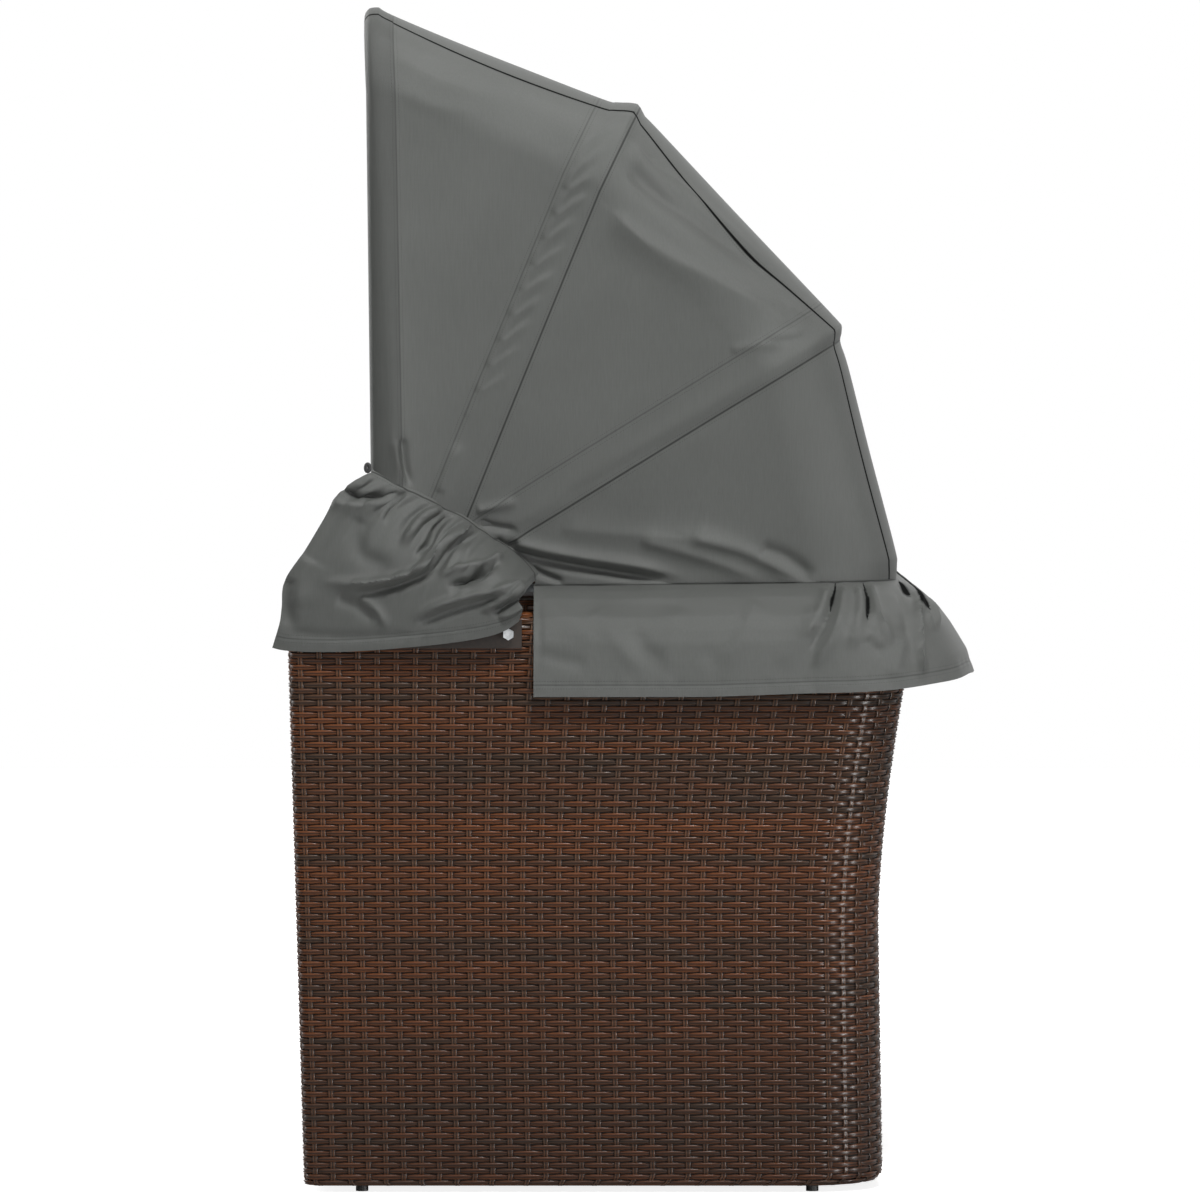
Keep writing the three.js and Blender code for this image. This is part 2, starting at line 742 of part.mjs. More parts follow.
function hoopTube(index) {
  const { angle } = hoops[index];
  const route = hoopRoute(index, 0, -hoopTail, tubeSteps);
  const turn = THREE.MathUtils.degToRad(angle);
  const planeNormal = point(0, -Math.sin(turn), Math.cos(turn));
  const rings = route.map(([x, along], i) => {
    const before = route[Math.max(i - 1, 0)];
    const after = route[Math.min(i + 1, route.length - 1)];
    const direction = new THREE.Vector2(after[0] - before[0], after[1] - before[1]).normalize();
    const centre = onHoop(x, along, angle);
    const outward = new THREE.Vector3().subVectors(onHoop(direction.y, -direction.x, angle), pivotPoint);
    return Array.from({ length: tubeSides }, (_, k) => {
      const a = (k / tubeSides) * Math.PI * 2;
      return centre.clone()
        .addScaledVector(outward, tubeRadius * Math.cos(a))
        .addScaledVector(planeNormal, -tubeRadius * Math.sin(a));
    });
  });
  return loft(rings);
}

function makeHoops() {
  const hole = (sign) => onPivot(
    sign * (sideX + cutOverrun),
    sign * (innerX - 2 * cutOverrun),
    pivotBoltDiameter / 2 + holeClearance,
    holeSides,
  );
  hoops.forEach(({ name }, i) => place(name, cut(hoopTube(i), hole(1), hole(-1)), 'steel'));
}

// Saddles: moulded blocks on the back that the rear hoop lies in

function makeSaddles() {
  const barCentre = onHoop(0, rearReach - coverLift, rearHoopAngle);
  const low = armTop + fitGap;
  for (const [side, sign] of [['left', -1], ['right', 1]]) {
    const x = sign * (sideX - saddleInset);
    const saddle = cut(
      block(
        point(x - saddleWidth / 2, barCentre.y - saddleDepth / 2, low),
        point(x + saddleWidth / 2, barCentre.y + saddleDepth / 2, barCentre.z - tubeRadius + saddleGrip),
      ),
      bar(
        point(x - saddleWidth, barCentre.y, barCentre.z),
        point(x + saddleWidth, barCentre.y, barCentre.z),
        tubeRadius + fitGap,
        saddleBoreSides,
      ),
    );
    place(`${side}_hoop_saddle`, saddle, 'plastic');
  }
}

// Canopy cloth: one gore between each two hoops, from seam to seam over the top

const goreNames = ['canopy_rear_gore', 'canopy_middle_gore', 'canopy_front_gore'];

function coverCurve(index) {
  const { angle, seamRadius } = hoops[index];
  const lift = index === 0 ? rearSeamLift : 0;
  return hoopRoute(index, coverLift, seamRadius, coverSteps).map(
    ([x, along]) => onHoop(x, along, angle).add(point(0, 0, lift)),
  );
}

function makeGores() {
  goreNames.forEach((name, i) => {
    const lower = coverCurve(i);
    const upper = coverCurve(i + 1);
    const rows = [];
    for (let r = 0; r <= goreRows; r += 1) {
      const edgeGap = (seamGap / 2) * (1 - (2 * r) / goreRows);
      rows.push(lower.map((from, c) => {
        const to = upper[c];
        const span = new THREE.Vector3().subVectors(to, from);
        const spot = from.clone().addScaledVector(span, r / goreRows);
        spot.addScaledVector(span.clone().normalize(), edgeGap);
        const inward = point(0, pivotSetback - spot.y, pivotHeight - spot.z);
        const onTop = THREE.MathUtils.clamp((legX(0) - Math.abs(spot.x)) / hoopBendRadius, 0, 1);
        const sag = gorePanelSag * onTop * Math.sin((Math.PI * r) / goreRows);
        return spot.addScaledVector(inward.normalize(), sag);
      }));
    }
    place(name, sheet(rows, clothThickness), 'cloth');
  });
}

// Rear valance: a skirt from the rear hoop over the arms and the back

function makeValance() {
  const { angle, seamRadius } = hoops[0];
  const route = hoopRoute(0, coverLift, seamRadius, skirtSteps);
  let travelled = 0;
  const columns = route.map(([x, along], i) => {
    const before = route[Math.max(i - 1, 0)];
    const after = route[Math.min(i + 1, route.length - 1)];
    travelled += Math.hypot(x - before[0], along - before[1]);
    const direction = new THREE.Vector2(after[0] - before[0], after[1] - before[1]).normalize();
    return { top: onHoop(x, along, angle), outX: direction.y, outY: -direction.x, travelled };
  });
  const rows = sideDropShares.map((dropShare, r) => columns.map((column) => {
    const rearward = column.outY ** 4;
    const reach = THREE.MathUtils.lerp(
      valanceSideReach * sideReachShares[r],
      valanceBackReach * backReachShares[r],
      rearward,
    ) + valanceCornerSwell * Math.min(1, 2 * dropShare) * (2 * column.outX * column.outY) ** 2;
    const drop = THREE.MathUtils.lerp(valanceSideDrop, valanceBackDrop, rearward) * dropShare;
    const fold = valanceFoldDepth * dropShare
      * (1 + Math.sin((2 * Math.PI * column.travelled) / valanceFoldPitch));
    const out = reach + fold;
    return point(
      column.top.x + column.outX * out,
      column.top.y + column.outY * out,
      column.top.z + rearSeamLift - seamGap - drop,
    );
  }));
  place('rear_valance', sheet(rows, clothThickness), 'cloth');
}

// Front flaps: gathered cloth under the slanting seam, hanging over the arm's outer face

function flapTop(share) {
  const goresPassed = share * goreNames.length;
  const index = Math.min(goreNames.length - 1, Math.floor(goresPassed));
  const part = goresPassed - index;
  const from = hoops[index];
  const to = hoops[index + 1];
  const a = onHoop(legX(index) + coverLift, from.seamRadius, from.angle);
  const b = onHoop(legX(index + 1) + coverLift, to.seamRadius, to.angle);
  const spot = a.lerp(b, part);
  const toPivot = point(0, pivotSetback - spot.y, pivotHeight - spot.z).normalize();
  return spot.addScaledVector(toPivot, flapSeamGap);
}

function makeFlaps() {
  const hemX = plateOuterX + boltHeadHeight + flapStandOff - clothThickness - fitGap * 2;
  const rows = [];
  for (let r = 0; r <= flapRows; r += 1) {
    const down = r / flapRows;
    const row = [];
    for (let c = 0; c <= flapColumns; c += 1) {
      const forward = c / flapColumns;
      const top = flapTop(forward);
      const hemY = pivotSetback + THREE.MathUtils.lerp(flapRearReach, -flapFrontReach, forward);
      const hemZ = pivotHeight - THREE.MathUtils.lerp(flapRearDrop, flapFrontDrop, forward)
        - flapHemSag * Math.sin(Math.PI * forward);
      const bulge = flapBulge * forward ** 2 * Math.sin(Math.PI * down);
      const fold = flapFoldDepth * down * Math.sin(2 * Math.PI * flapFoldCount * forward);
      const spread = Math.sin((Math.PI / 2) * Math.min(1, down / flapSpreadShare));
      row.push(point(
        THREE.MathUtils.lerp(top.x, hemX, spread) + fold,
        THREE.MathUtils.lerp(top.y, hemY, down) - bulge,
        THREE.MathUtils.lerp(top.z, hemZ, down),
      ));
    }
    rows.push(row.reverse());
  }
  const flap = sheet(rows, clothThickness);
  place('right_front_flap', flap, 'cloth');
  place('left_front_flap', mirrored(flap), 'cloth');
}

// Cushions: crowned faces, sides drawn in between the corners and a rolled edge

function cushionGeometry(width, depth, height, crownBelow) {
  const steps = cushionSteps;
  const edgeHalf = (height / 2) * cushionEdgeShare;
  const halfWidth = width / 2 - cushionRoll;
  const halfDepth = depth / 2 - cushionRoll;
  const surface = (side, crown) => {
    const points = [];
    for (let j = 0; j <= steps; j += 1) {
      for (let i = 0; i <= steps; i += 1) {
        const u = -1 + (2 * i) / steps;
        const v = -1 + (2 * j) / steps;
        const pullX = cushionSidePull * (1 - v ** 2);
        const pullY = cushionSidePull * (1 - u ** 2);
        const fullness = (1 - u ** 4) * (1 - v ** 4);
        const rise = crown ? (height / 2 - edgeHalf) * Math.sqrt(fullness) : 0;
        points.push(point(u * (halfWidth - pullX), v * (halfDepth - pullY), side * (edgeHalf + rise)));
      }
    }
    return points;
  };
  const upper = surface(1, true);
  const lower = surface(-1, crownBelow);
  const size = steps + 1;
  const rim = [];
  for (let i = 0; i < steps; i += 1) rim.push(i);
  for (let j = 0; j < steps; j += 1) rim.push(j * size + steps);
  for (let i = steps; i > 0; i -= 1) rim.push(steps * size + i);
  for (let j = steps; j > 0; j -= 1) rim.push(j * size);
  const outward = (step) => (step === 0 ? -cushionRoll : step === steps ? cushionRoll : 0);
  const middle = rim.map((k) => point(
    upper[k].x + outward(k % size),
    upper[k].y + outward(Math.floor(k / size)),
    0,
  ));
  const points = [...lower, ...upper, ...middle];
  const faces = [];
  for (let j = 0; j < steps; j += 1) {
    for (let i = 0; i < steps; i += 1) {
      const a = j * size + i;
      const up = size * size;
      faces.push([a, a + size + 1, a + 1], [a, a + size, a + size + 1]);
      faces.push([up + a, up + a + 1, up + a + size + 1], [up + a, up + a + size + 1, up + a + size]);
    }
  }
  rim.forEach((k, n) => {
    const next = rim[(n + 1) % rim.length];
    const m = 2 * size * size + n;
    const mNext = 2 * size * size + ((n + 1) % rim.length);
    const up = size * size;
    faces.push([k, next, mNext], [k, mNext, m]);
    faces.push([m, mNext, up + next], [m, up + next, up + k]);
  });
  return geometryOf(points, faces);
}

function makeCushions() {
  const width = innerX - 2 * cushionGap;
  const front = frontY(deckHeight) + cushionGap;
  const rear = rearY(deckHeight) - armThickness - cushionGap;
  const seatZ = deckHeight + fitGap + (seatCushionHeight / 2) * cushionEdgeShare;
  const seatTop = seatZ + seatCushionHeight / 2;
  const backZ = seatTop - backCushionDrop + backCushionHeight / 2;
  const lean = Math.atan2(rearY(backZ + cushionRoll) - rearY(backZ - cushionRoll), 2 * cushionRoll);
  for (const [side, sign] of [['left', -1], ['right', 1]]) {
    const x = (sign * innerX) / 2;
    const seat = cushionGeometry(width, rear - front, seatCushionHeight, false);
    place(`${side}_seat_cushion`, seat.translate(x, (front + rear) / 2, seatZ), 'cushion');
    const back = cushionGeometry(width, backCushionHeight, backCushionThickness, true);
    back.rotateX(Math.PI / 2 - lean);
    back.translate(
      x,
      rearY(backZ) - armThickness - backCushionGap - backCushionThickness / 2,
      backZ,
    );
    place(`${side}_back_cushion`, back, 'cushion');
  }
}

// Tabs sewn to the front edge of the flaps

function makeTabs() {
  const low = onHoop(legX(goreNames.length) + coverLift, frontSeamRadius + seamGap, frontHoopAngle);
  const x = low.x + clothThickness / 2 + fitGap;
  const tab = block(
    point(x, low.y, low.z),
    point(x + tabThickness, low.y + tabWidth, low.z + tabLength),
  );
  place('right_front_tab', tab, 'plastic');
  place('left_front_tab', mirrored(tab), 'plastic');
}

makeSidePanels();
makeBackPanel();
makeSeat();
makeSideFrames();
makeBackFrame();
makeFeet();
makeBrackets();
makeFasteners();
makeWashers();
makeHoops();
makeSaddles();
makeGores();
makeValance();
makeFlaps();
makeCushions();
makeTabs();

// The origin is on the floor, under the middle of the whole daybed.
const bounds = new THREE.Box3().setFromObject(daybed);
const middle = bounds.getCenter(new THREE.Vector3());
daybed.position.set(-middle.x, -middle.y, -bounds.min.z);

export default daybed;
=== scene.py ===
import math

import bmesh
import bpy
import numpy as np
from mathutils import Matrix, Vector


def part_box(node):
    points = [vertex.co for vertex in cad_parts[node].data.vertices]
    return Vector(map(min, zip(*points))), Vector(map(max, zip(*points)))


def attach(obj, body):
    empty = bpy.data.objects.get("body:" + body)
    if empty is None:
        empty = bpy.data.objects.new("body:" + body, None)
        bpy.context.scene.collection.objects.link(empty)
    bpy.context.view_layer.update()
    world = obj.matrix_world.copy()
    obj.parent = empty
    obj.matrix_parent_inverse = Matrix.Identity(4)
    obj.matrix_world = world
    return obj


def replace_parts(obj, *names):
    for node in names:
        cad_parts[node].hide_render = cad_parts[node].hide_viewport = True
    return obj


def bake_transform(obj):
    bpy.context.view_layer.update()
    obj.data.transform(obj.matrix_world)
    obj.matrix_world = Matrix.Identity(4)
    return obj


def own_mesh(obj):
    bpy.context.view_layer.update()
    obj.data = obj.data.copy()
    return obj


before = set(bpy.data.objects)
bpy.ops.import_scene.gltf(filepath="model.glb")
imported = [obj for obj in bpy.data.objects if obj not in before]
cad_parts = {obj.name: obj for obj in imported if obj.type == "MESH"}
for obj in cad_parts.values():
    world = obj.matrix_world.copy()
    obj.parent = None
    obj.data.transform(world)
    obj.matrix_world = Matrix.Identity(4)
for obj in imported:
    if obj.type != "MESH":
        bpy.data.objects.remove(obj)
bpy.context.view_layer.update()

# Outdoor daybed with a folding canopy. Metres, front at -Y, the camera looks along -X.

mm = 0.001
pictureScale = 1.2 * mm


def centreOf(node):
    low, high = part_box(node)
    return (low + high) / 2


pivot = centreOf("right_pivot_bolt")
pivot.x = 0
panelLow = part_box("right_side_panel")[0]

base = {
    "width": 1350 * mm,
    "depth": 697 * mm,
    "arm": 90 * mm,
    "top": 694 * mm,
    "foot": 8 * mm,
    "edge": 14 * mm,
    "lean": 20 * mm,
    "corner": 80 * mm,
    "waist": 320 * mm,
    "waistInset": 5 * mm,
    "flare": 43 * mm,
    "flareShare": 1.6,
    "rounding": 30 * mm,
    "rearFoot": 16 * mm,
    "frontFoot": 6 * mm,
    "leastEdge": 1 * mm,
}
base["front"] = panelLow.y + base["lean"]
base["side"] = base["width"] / 2
base["inner"] = base["side"] - base["arm"]


# Plan and profile of the woven base. A strip pattern has coordinates along, up and out.

def frontY(z):
    lean = base["lean"] * (z - base["foot"]) / (base["top"] - base["foot"])
    up = np.clip(base["frontFoot"] - (z - base["foot"]), 0, base["frontFoot"])
    curve = base["frontFoot"] - np.sqrt(base["frontFoot"] ** 2 - up ** 2)
    return base["front"] - lean + curve


def rearY(z):
    low = base["waistInset"] * np.clip((z - base["foot"]) / (base["waist"] - base["foot"]), 0, 1)
    high = np.clip((z - base["waist"]) / (base["top"] - base["waist"]), 0, 1) ** base["flareShare"]
    up = np.clip(base["rearFoot"] - (z - base["foot"]), 0, base["rearFoot"])
    curve = base["rearFoot"] - np.sqrt(base["rearFoot"] ** 2 - up ** 2)
    rise = (base["flare"] + base["waistInset"]) * high
    return base["front"] + base["depth"] - low + rise - curve


shoulder = base["top"] - base["rounding"]
wallRise = shoulder - base["foot"]
crownArc = base["rounding"] * math.pi / 2
crownFlat = base["arm"] / 2 - base["rounding"]
wallReach = wallRise + crownArc + crownFlat
middleHeight = 300 * mm
sideStraight = rearY(middleHeight) - frontY(middleHeight) - base["corner"] - base["edge"]
edgeArc = base["edge"] * math.pi / 2
cornerArc = base["corner"] * math.pi / 2
planLengths = [
    edgeArc, base["arm"] - 2 * base["edge"], edgeArc, sideStraight, cornerArc, base["side"] - base["corner"]]
planStops = np.concatenate([[0], np.cumsum(planLengths)])
halfPlan = planStops[-1]
# Strands. The columns of the four stretches round the outside are whole repeats, and the inner faces have
# rows enough to pass behind the cushions. A section is in shares of the strand's half width and of its ridge.
weave = {
    "outside": {"right_side": 20, "right_back": 13, "left_back": 14, "left_side": 20},
    "armRows": 55,
    "backRows": 44,
    "apronGap": 0.3 * mm,
    "pitch": 7.1 * mm,
    "floatHalf": 19.2 * mm,
    "floatWidth": 2.95 * mm,
    "endWidth": 2.2 * mm,
    "floatSection": ((-1, -2.6), (-0.56, 0), (0, -1.9), (0.56, 0), (1, -2.6)),
    "floatSteps": 8,
    "warpHalf": 3.3 * mm,
    "warpSection": ((1, -1.8), (0.52, 0), (0, -1.9), (-0.52, 0), (-1, -1.8)),
    "warpSteps": 2,
    "warpReachShare": 0.66,
    "warpDepth": 0.7 * mm,
    "warpDive": 1.5 * mm,
    "dive": 3.0 * mm,
    "ridge": 0.8 * mm,
    "tilt": (0.012, 0.004, 0.006),
    "seed": 5,
    "backing": 4.6 * mm,
}
weave["period"] = 2 * halfPlan / sum(weave["outside"].values())


# Colours and materials

def linear(code):
    # An sRGB hex colour as linear RGBA.
    values = [int(code[i:i + 2], 16) / 255 for i in (1, 3, 5)]
    return [v / 12.92 if v <= 0.04045 else ((v + 0.055) / 1.055) ** 2.4 for v in values] + [1]


def addNode(tree, kind, links=None, stops=(), **settings):
    # Adds a node. links maps its inputs to values or to other nodes' outputs; stops are a ramp's colours.
    node = tree.nodes.new(kind)
    for name, value in settings.items():
        setattr(node, name, value)
    for socket, value in (links or {}).items():
        if isinstance(value, bpy.types.NodeSocket):
            tree.links.new(value, node.inputs[socket])
        else:
            node.inputs[socket].default_value = value
    for k, (place, code) in enumerate(stops):
        elements = node.color_ramp.elements
        element = elements[k] if k < len(elements) else elements.new(place)
        element.position = place
        element.color = linear(code)
    return node


def weighted(tree, *parts):
    # The sum of some factors, each times its weight.
    total = 0.0
    for factor, weight in parts:
        total = addNode(
            tree, "ShaderNodeMath", {0: factor, 1: weight, 2: total}, operation="MULTIPLY_ADD").outputs[0]
    return total


def mottled(tree, vector, sizes, detail=2.0, roughness=0.5):
    # Cloudy variation in patches of these sizes along X, Y and Z. An axis of size zero takes no part.
    scale = [1 / size if size else 0 for size in sizes]
    places = addNode(tree, "ShaderNodeMapping", {"Vector": vector, "Scale": scale}).outputs["Vector"]
    return addNode(tree, "ShaderNodeTexNoise", {
        "Vector": places, "Scale": 1.0, "Detail": detail, "Roughness": roughness}).outputs["Fac"]


def overlaid(tree, colour, layers):
    # Lays further colours over the first, each by a factor times its strength.
    for factor, strength, code in layers:
        colour = addNode(tree, "ShaderNodeMix", {
            0: weighted(tree, (factor, strength)), 6: colour, 7: linear(code)}, data_type="RGBA").outputs[2]
    return colour


def newMaterial(name, **shader):
    # A material with a principled shader, and its node tree.
    material = bpy.data.materials.new(name)
    material.use_nodes = True
    inputs = material.node_tree.nodes["Principled BSDF"].inputs
    for socket, value in shader.items():
        inputs[socket.replace("_", " ")].default_value = value
    return material, material.node_tree


def finished(material, colour, height=None, depth=0.0, strength=1.0):
    # Gives the material's shader its colour and its relief.
    tree = material.node_tree
    inputs = tree.nodes["Principled BSDF"].inputs
    tree.links.new(colour, inputs["Base Color"])
    if height is not None:
        relief = addNode(tree, "ShaderNodeBump", {"Height": height, "Distance": depth, "Strength": strength})
        tree.links.new(relief.outputs["Normal"], inputs["Normal"])
    return material


# Patches of colour have sizes along and across the strand. A painted shade, in a groove or over the first
# rows, has the distances between which it changes, and how dark it is at each of them.
strandLook = {
    "batch": (1250 * mm, 143 * mm, 0),
    "mottle": (71.4 * mm, 16.7 * mm, 0),
    "streak": (40 * mm, 1.11 * mm, 0),
    "tones": {"row": 0.34, "batch": 0.50, "strand": 0.12, "mottle": 0.16},
    "browns": ((0.22, "#2b221b"), (0.38, "#3e2b1d"), (0.52, "#573119"), (0.66, "#6d3a17"), (0.84, "#7d431b")),
    # Painted shade in the groove down each float's middle, in the clefts of the upright pairs and along their
    # edges.
    "weftGroove": (weave["pitch"] / 2 - 1.25 * mm, weave["pitch"] / 2 - 0.35 * mm, 0.0, 0.8),
    "warpCleft": (0.3 * mm, 1.1 * mm, 0.9, 0.0),
    "warpEdge": (2.2 * mm, 3.0 * mm, 0.0, 0.85),
    # Painted shade: the first rows of each woven patch are darker, which on the outer walls and the apron is
    # towards the foot.
    "footPaintedShade": (20 * mm, 360 * mm, 0.42, 0.0),
    "streakRelief": 0.2 * mm,
}


def wickerMaterial():
    # Extruded polyethylene strand with a satin skin and drawn streaks, each row from its own batch of brown.
    # Painted shade darkens its grooves and clefts, and the first rows of each patch.
    material, tree = newMaterial("polyethylene_wicker", Roughness=0.3, Specular_IOR_Level=0.24)
    parts = {name: addNode(tree, "ShaderNodeAttribute", attribute_name=name).outputs["Fac"]
             for name in ("row", "strand", "upright")}
    flat = addNode(tree, "ShaderNodeAttribute", attribute_name="flat").outputs["Vector"]
    parts["batch"] = mottled(tree, flat, strandLook["batch"])
    parts["mottle"] = mottled(tree, flat, strandLook["mottle"])
    streak = mottled(tree, flat, strandLook["streak"], 3.0, 0.6)
    tone = weighted(tree, *((parts[name], weight) for name, weight in strandLook["tones"].items()))
    brown = addNode(tree, "ShaderNodeValToRGB", {"Fac": tone}, strandLook["browns"]).outputs["Color"]
    places = addNode(tree, "ShaderNodeSeparateXYZ", {0: flat}).outputs
    fromRow, fromUpright = (addNode(
        tree, "ShaderNodeMath", {0: places[axis], 1: reach}, operation="PINGPONG").outputs[0]
        for axis, reach in (("Y", weave["pitch"] / 2), ("X", weave["period"] / 4)))
    shades = {}
    for name, away in (
        ("weftGroove", fromRow), ("warpCleft", fromUpright), ("warpEdge", fromUpright),
        ("footPaintedShade", places["Y"]),
    ):
        start, end, first, last = strandLook[name]
        shades[name] = addNode(tree, "ShaderNodeMapRange", {
            "Value": away, "From Min": start, "From Max": end, "To Min": first, "To Max": last,
        }).outputs["Result"]
    warp = addNode(tree, "ShaderNodeMath", {0: shades["warpCleft"], 1: shades["warpEdge"]},
                   operation="MAXIMUM").outputs[0]
    # Painted shade in the grooves and clefts between the strands, drawn near black.
    grooveShade = addNode(tree, "ShaderNodeMix", {0: parts["upright"], 2: shades["weftGroove"], 3: warp}).outputs[0]
    # The two near black layers are painted shade: in the grooves, and over the first rows.
    colour = overlaid(tree, brown, (
        (parts["upright"], 0.45, "#6e5340"), (streak, 0.22, "#8a6448"), (grooveShade, 1.0, "#120c08"),
        (shades["footPaintedShade"], 1.0, "#1b100a")))
    return finished(material, colour, streak, strandLook["streakRelief"])


def deckMaterial():
    # Seat deck plaited from the same strand: brown rows, with painted shade darkening the furrows between
    # them.
    material, tree = newMaterial("polyethylene_deck_weave", Roughness=0.5)
    coordinates = addNode(tree, "ShaderNodeTexCoord").outputs["Object"]
    places = addNode(tree, "ShaderNodeSeparateXYZ", {0: coordinates}).outputs
    rows, uprights = (addNode(
        tree, "ShaderNodeMath", {0: weighted(tree, (places[axis], 2 * math.pi / spacing))},
        operation="SINE").outputs[0] for axis, spacing in (("Y", weave["pitch"]), ("X", weave["period"])))
    batch = mottled(tree, coordinates, (667 * mm, 16.7 * mm, 1000 * mm))
    tone = weighted(tree, (rows, 0.22), (batch, 0.8), (uprights, 0.06))
    colour = addNode(tree, "ShaderNodeValToRGB", {"Fac": tone}, (
        (0.1, "#1d140f"), (0.4, "#4a2d1f"), (0.8, "#673a25"))).outputs["Color"]
    return finished(material, colour, weighted(tree, (rows, uprights)), 1.2 * mm)


def shadeBackingMaterial():
    # Painted shade: a nearly black sheet standing for the shadowed inside of the walls, seen through the
    # slots between the strands.
    material, tree = newMaterial("wicker_inside", Roughness=0.8)
    coordinates = addNode(tree, "ShaderNodeTexCoord").outputs["Object"]
    mottle = mottled(tree, coordinates, [16.7 * mm] * 3)
    colour = addNode(tree, "ShaderNodeValToRGB", {"Fac": mottle}, ((0.3, "#0d0906"), (0.7, "#1a120d")))
    return finished(material, colour.outputs["Color"])


# Each line drawn on the canopy: the distance that it reads, the way its stitches run, its half width and how
# dark it is. X is the piping, and on the valance a painted shadow in a pleat's mouth; Y a strong seam; Z a
# faint one or a hem.
seamLook = {
    "lines": (("X", "Y", 1.7 * mm, 1.0), ("Y", "X", 1.0 * mm, 0.62), ("Z", "X", 0.8 * mm, 0.3)),
    "soft": (0.8, 1.6),
    "stitchAway": 4.5 * mm,
    "stitchHalf": 0.5 * mm,
    "stitchLength": 3.2 * mm,
    "stitchGap": -0.3,
    "stitchDark": 0.22,
    "relief": 6.0,
}


def seamShade(tree):
    # How dark the cloth is along its seams and their stitches, and in the painted shadows of the valance's
    # pleat mouths; the piece holds its own distances.
    distances, ways = (addNode(tree, "ShaderNodeSeparateXYZ", {
        0: addNode(tree, "ShaderNodeAttribute", attribute_name=name).outputs["Vector"]}).outputs
        for name in ("seams", "travel"))
    shades = []
    for axis, way, half, dark in seamLook["lines"]:
        away = addNode(tree, "ShaderNodeMath", {0: distances[axis]}, operation="ABSOLUTE").outputs[0]
        near, far = (half * share for share in seamLook["soft"])
        line = addNode(tree, "ShaderNodeMapRange", {
            "Value": away, "From Min": near, "From Max": far, "To Min": dark, "To Max": 0.0})
        beside = addNode(tree, "ShaderNodeMath", {
            0: away, 1: seamLook["stitchAway"], 2: seamLook["stitchHalf"]}, operation="COMPARE").outputs[0]
        stitch = ways[way]
        for operation, number in (
            ("MULTIPLY", 2 * math.pi / seamLook["stitchLength"]), ("SINE", 0.0),
            ("GREATER_THAN", seamLook["stitchGap"]), ("MULTIPLY", beside),
            ("MULTIPLY", seamLook["stitchDark"]),
        ):
            stitch = addNode(tree, "ShaderNodeMath", {0: stitch, 1: number}, operation=operation).outputs[0]
        shades += [line.outputs["Result"], stitch]
    darkest = shades[0]
    for shade in shades[1:]:
        darkest = addNode(tree, "ShaderNodeMath", {0: darkest, 1: shade}, operation="MAXIMUM").outputs[0]
    return darkest


def clothMaterial(name, dark, light, thread, sheen, seamed=False):
    # Plain-woven polyester: matt, with a soft cloudy tone and faint slubs. Its square weave is drawn with
    # threads that are coarser than the real ones, so that it shows.
    material, tree = newMaterial(
        name, Roughness=0.5, Specular_IOR_Level=0.5, Sheen_Weight=sheen, Sheen_Roughness=0.6)
    coordinates = addNode(tree, "ShaderNodeTexCoord").outputs["Object"]
    cloud = mottled(tree, coordinates, [111 * mm] * 3, 3.0)
    slub = mottled(tree, coordinates, (1.43 * mm, 1.43 * mm, 25 * mm))
    tone = weighted(tree, (cloud, 0.55), (slub, 0.45))
    colour = addNode(tree, "ShaderNodeValToRGB", {"Fac": tone}, ((0.3, dark), (0.7, light))).outputs["Color"]
    waveSpacing = 0.32  # about the wave texture's own spacing at a scale of 1
    relief = [(slub, 1.0)]
    for direction in ("Z", "Y"):
        threads = addNode(tree, "ShaderNodeTexWave", {
            "Vector": coordinates, "Scale": waveSpacing / thread}, bands_direction=direction)
        relief.append((threads.outputs["Fac"], 1.0))
    if seamed:
        shade = seamShade(tree)
        colour = overlaid(tree, colour, ((shade, 1.0, "#0c0d0c"),))
        relief.append((shade, -seamLook["relief"]))
        inputs = tree.nodes["Principled BSDF"].inputs
        tree.links.new(weighted(tree, (shade, -0.5), (0.5, 1.0)), inputs["Specular IOR Level"])
    return finished(material, colour, weighted(tree, *relief), 0.12 * mm, 0.6)


def plasticMaterial(name, dark, light, roughness):
    # Moulded polypropylene: dull, with a faint spark-eroded grain. It is drawn coarser than it is, to show.
    material, tree = newMaterial(name, Roughness=roughness)
    grain = mottled(tree, addNode(tree, "ShaderNodeTexCoord").outputs["Object"], [1.11 * mm] * 3)
    colour = addNode(tree, "ShaderNodeValToRGB", {"Fac": grain}, ((0.35, dark), (0.65, light)))
    return finished(material, colour.outputs["Color"], grain, 0.08 * mm)


def metalMaterial(name, dark, light, roughness, metallic, patch):
    # Metal with handling marks in patches, and finer marks in which it shines unevenly.
    material, tree = newMaterial(name, Metallic=metallic)
    coordinates = addNode(tree, "ShaderNodeTexCoord").outputs["Object"]
    marks = mottled(tree, coordinates, [patch] * 3, 4.0)
    fine = mottled(tree, coordinates, [patch / 9] * 3)
    colour = addNode(tree, "ShaderNodeValToRGB", {"Fac": marks}, ((0.35, dark), (0.65, light)))
    uneven = addNode(tree, "ShaderNodeMapRange", {
        "Value": fine, "To Min": roughness - 0.08, "To Max": roughness + 0.1}).outputs["Result"]
    tree.links.new(uneven, tree.nodes["Principled BSDF"].inputs["Roughness"])
    return finished(material, colour.outputs["Color"], fine, 0.05 * mm)


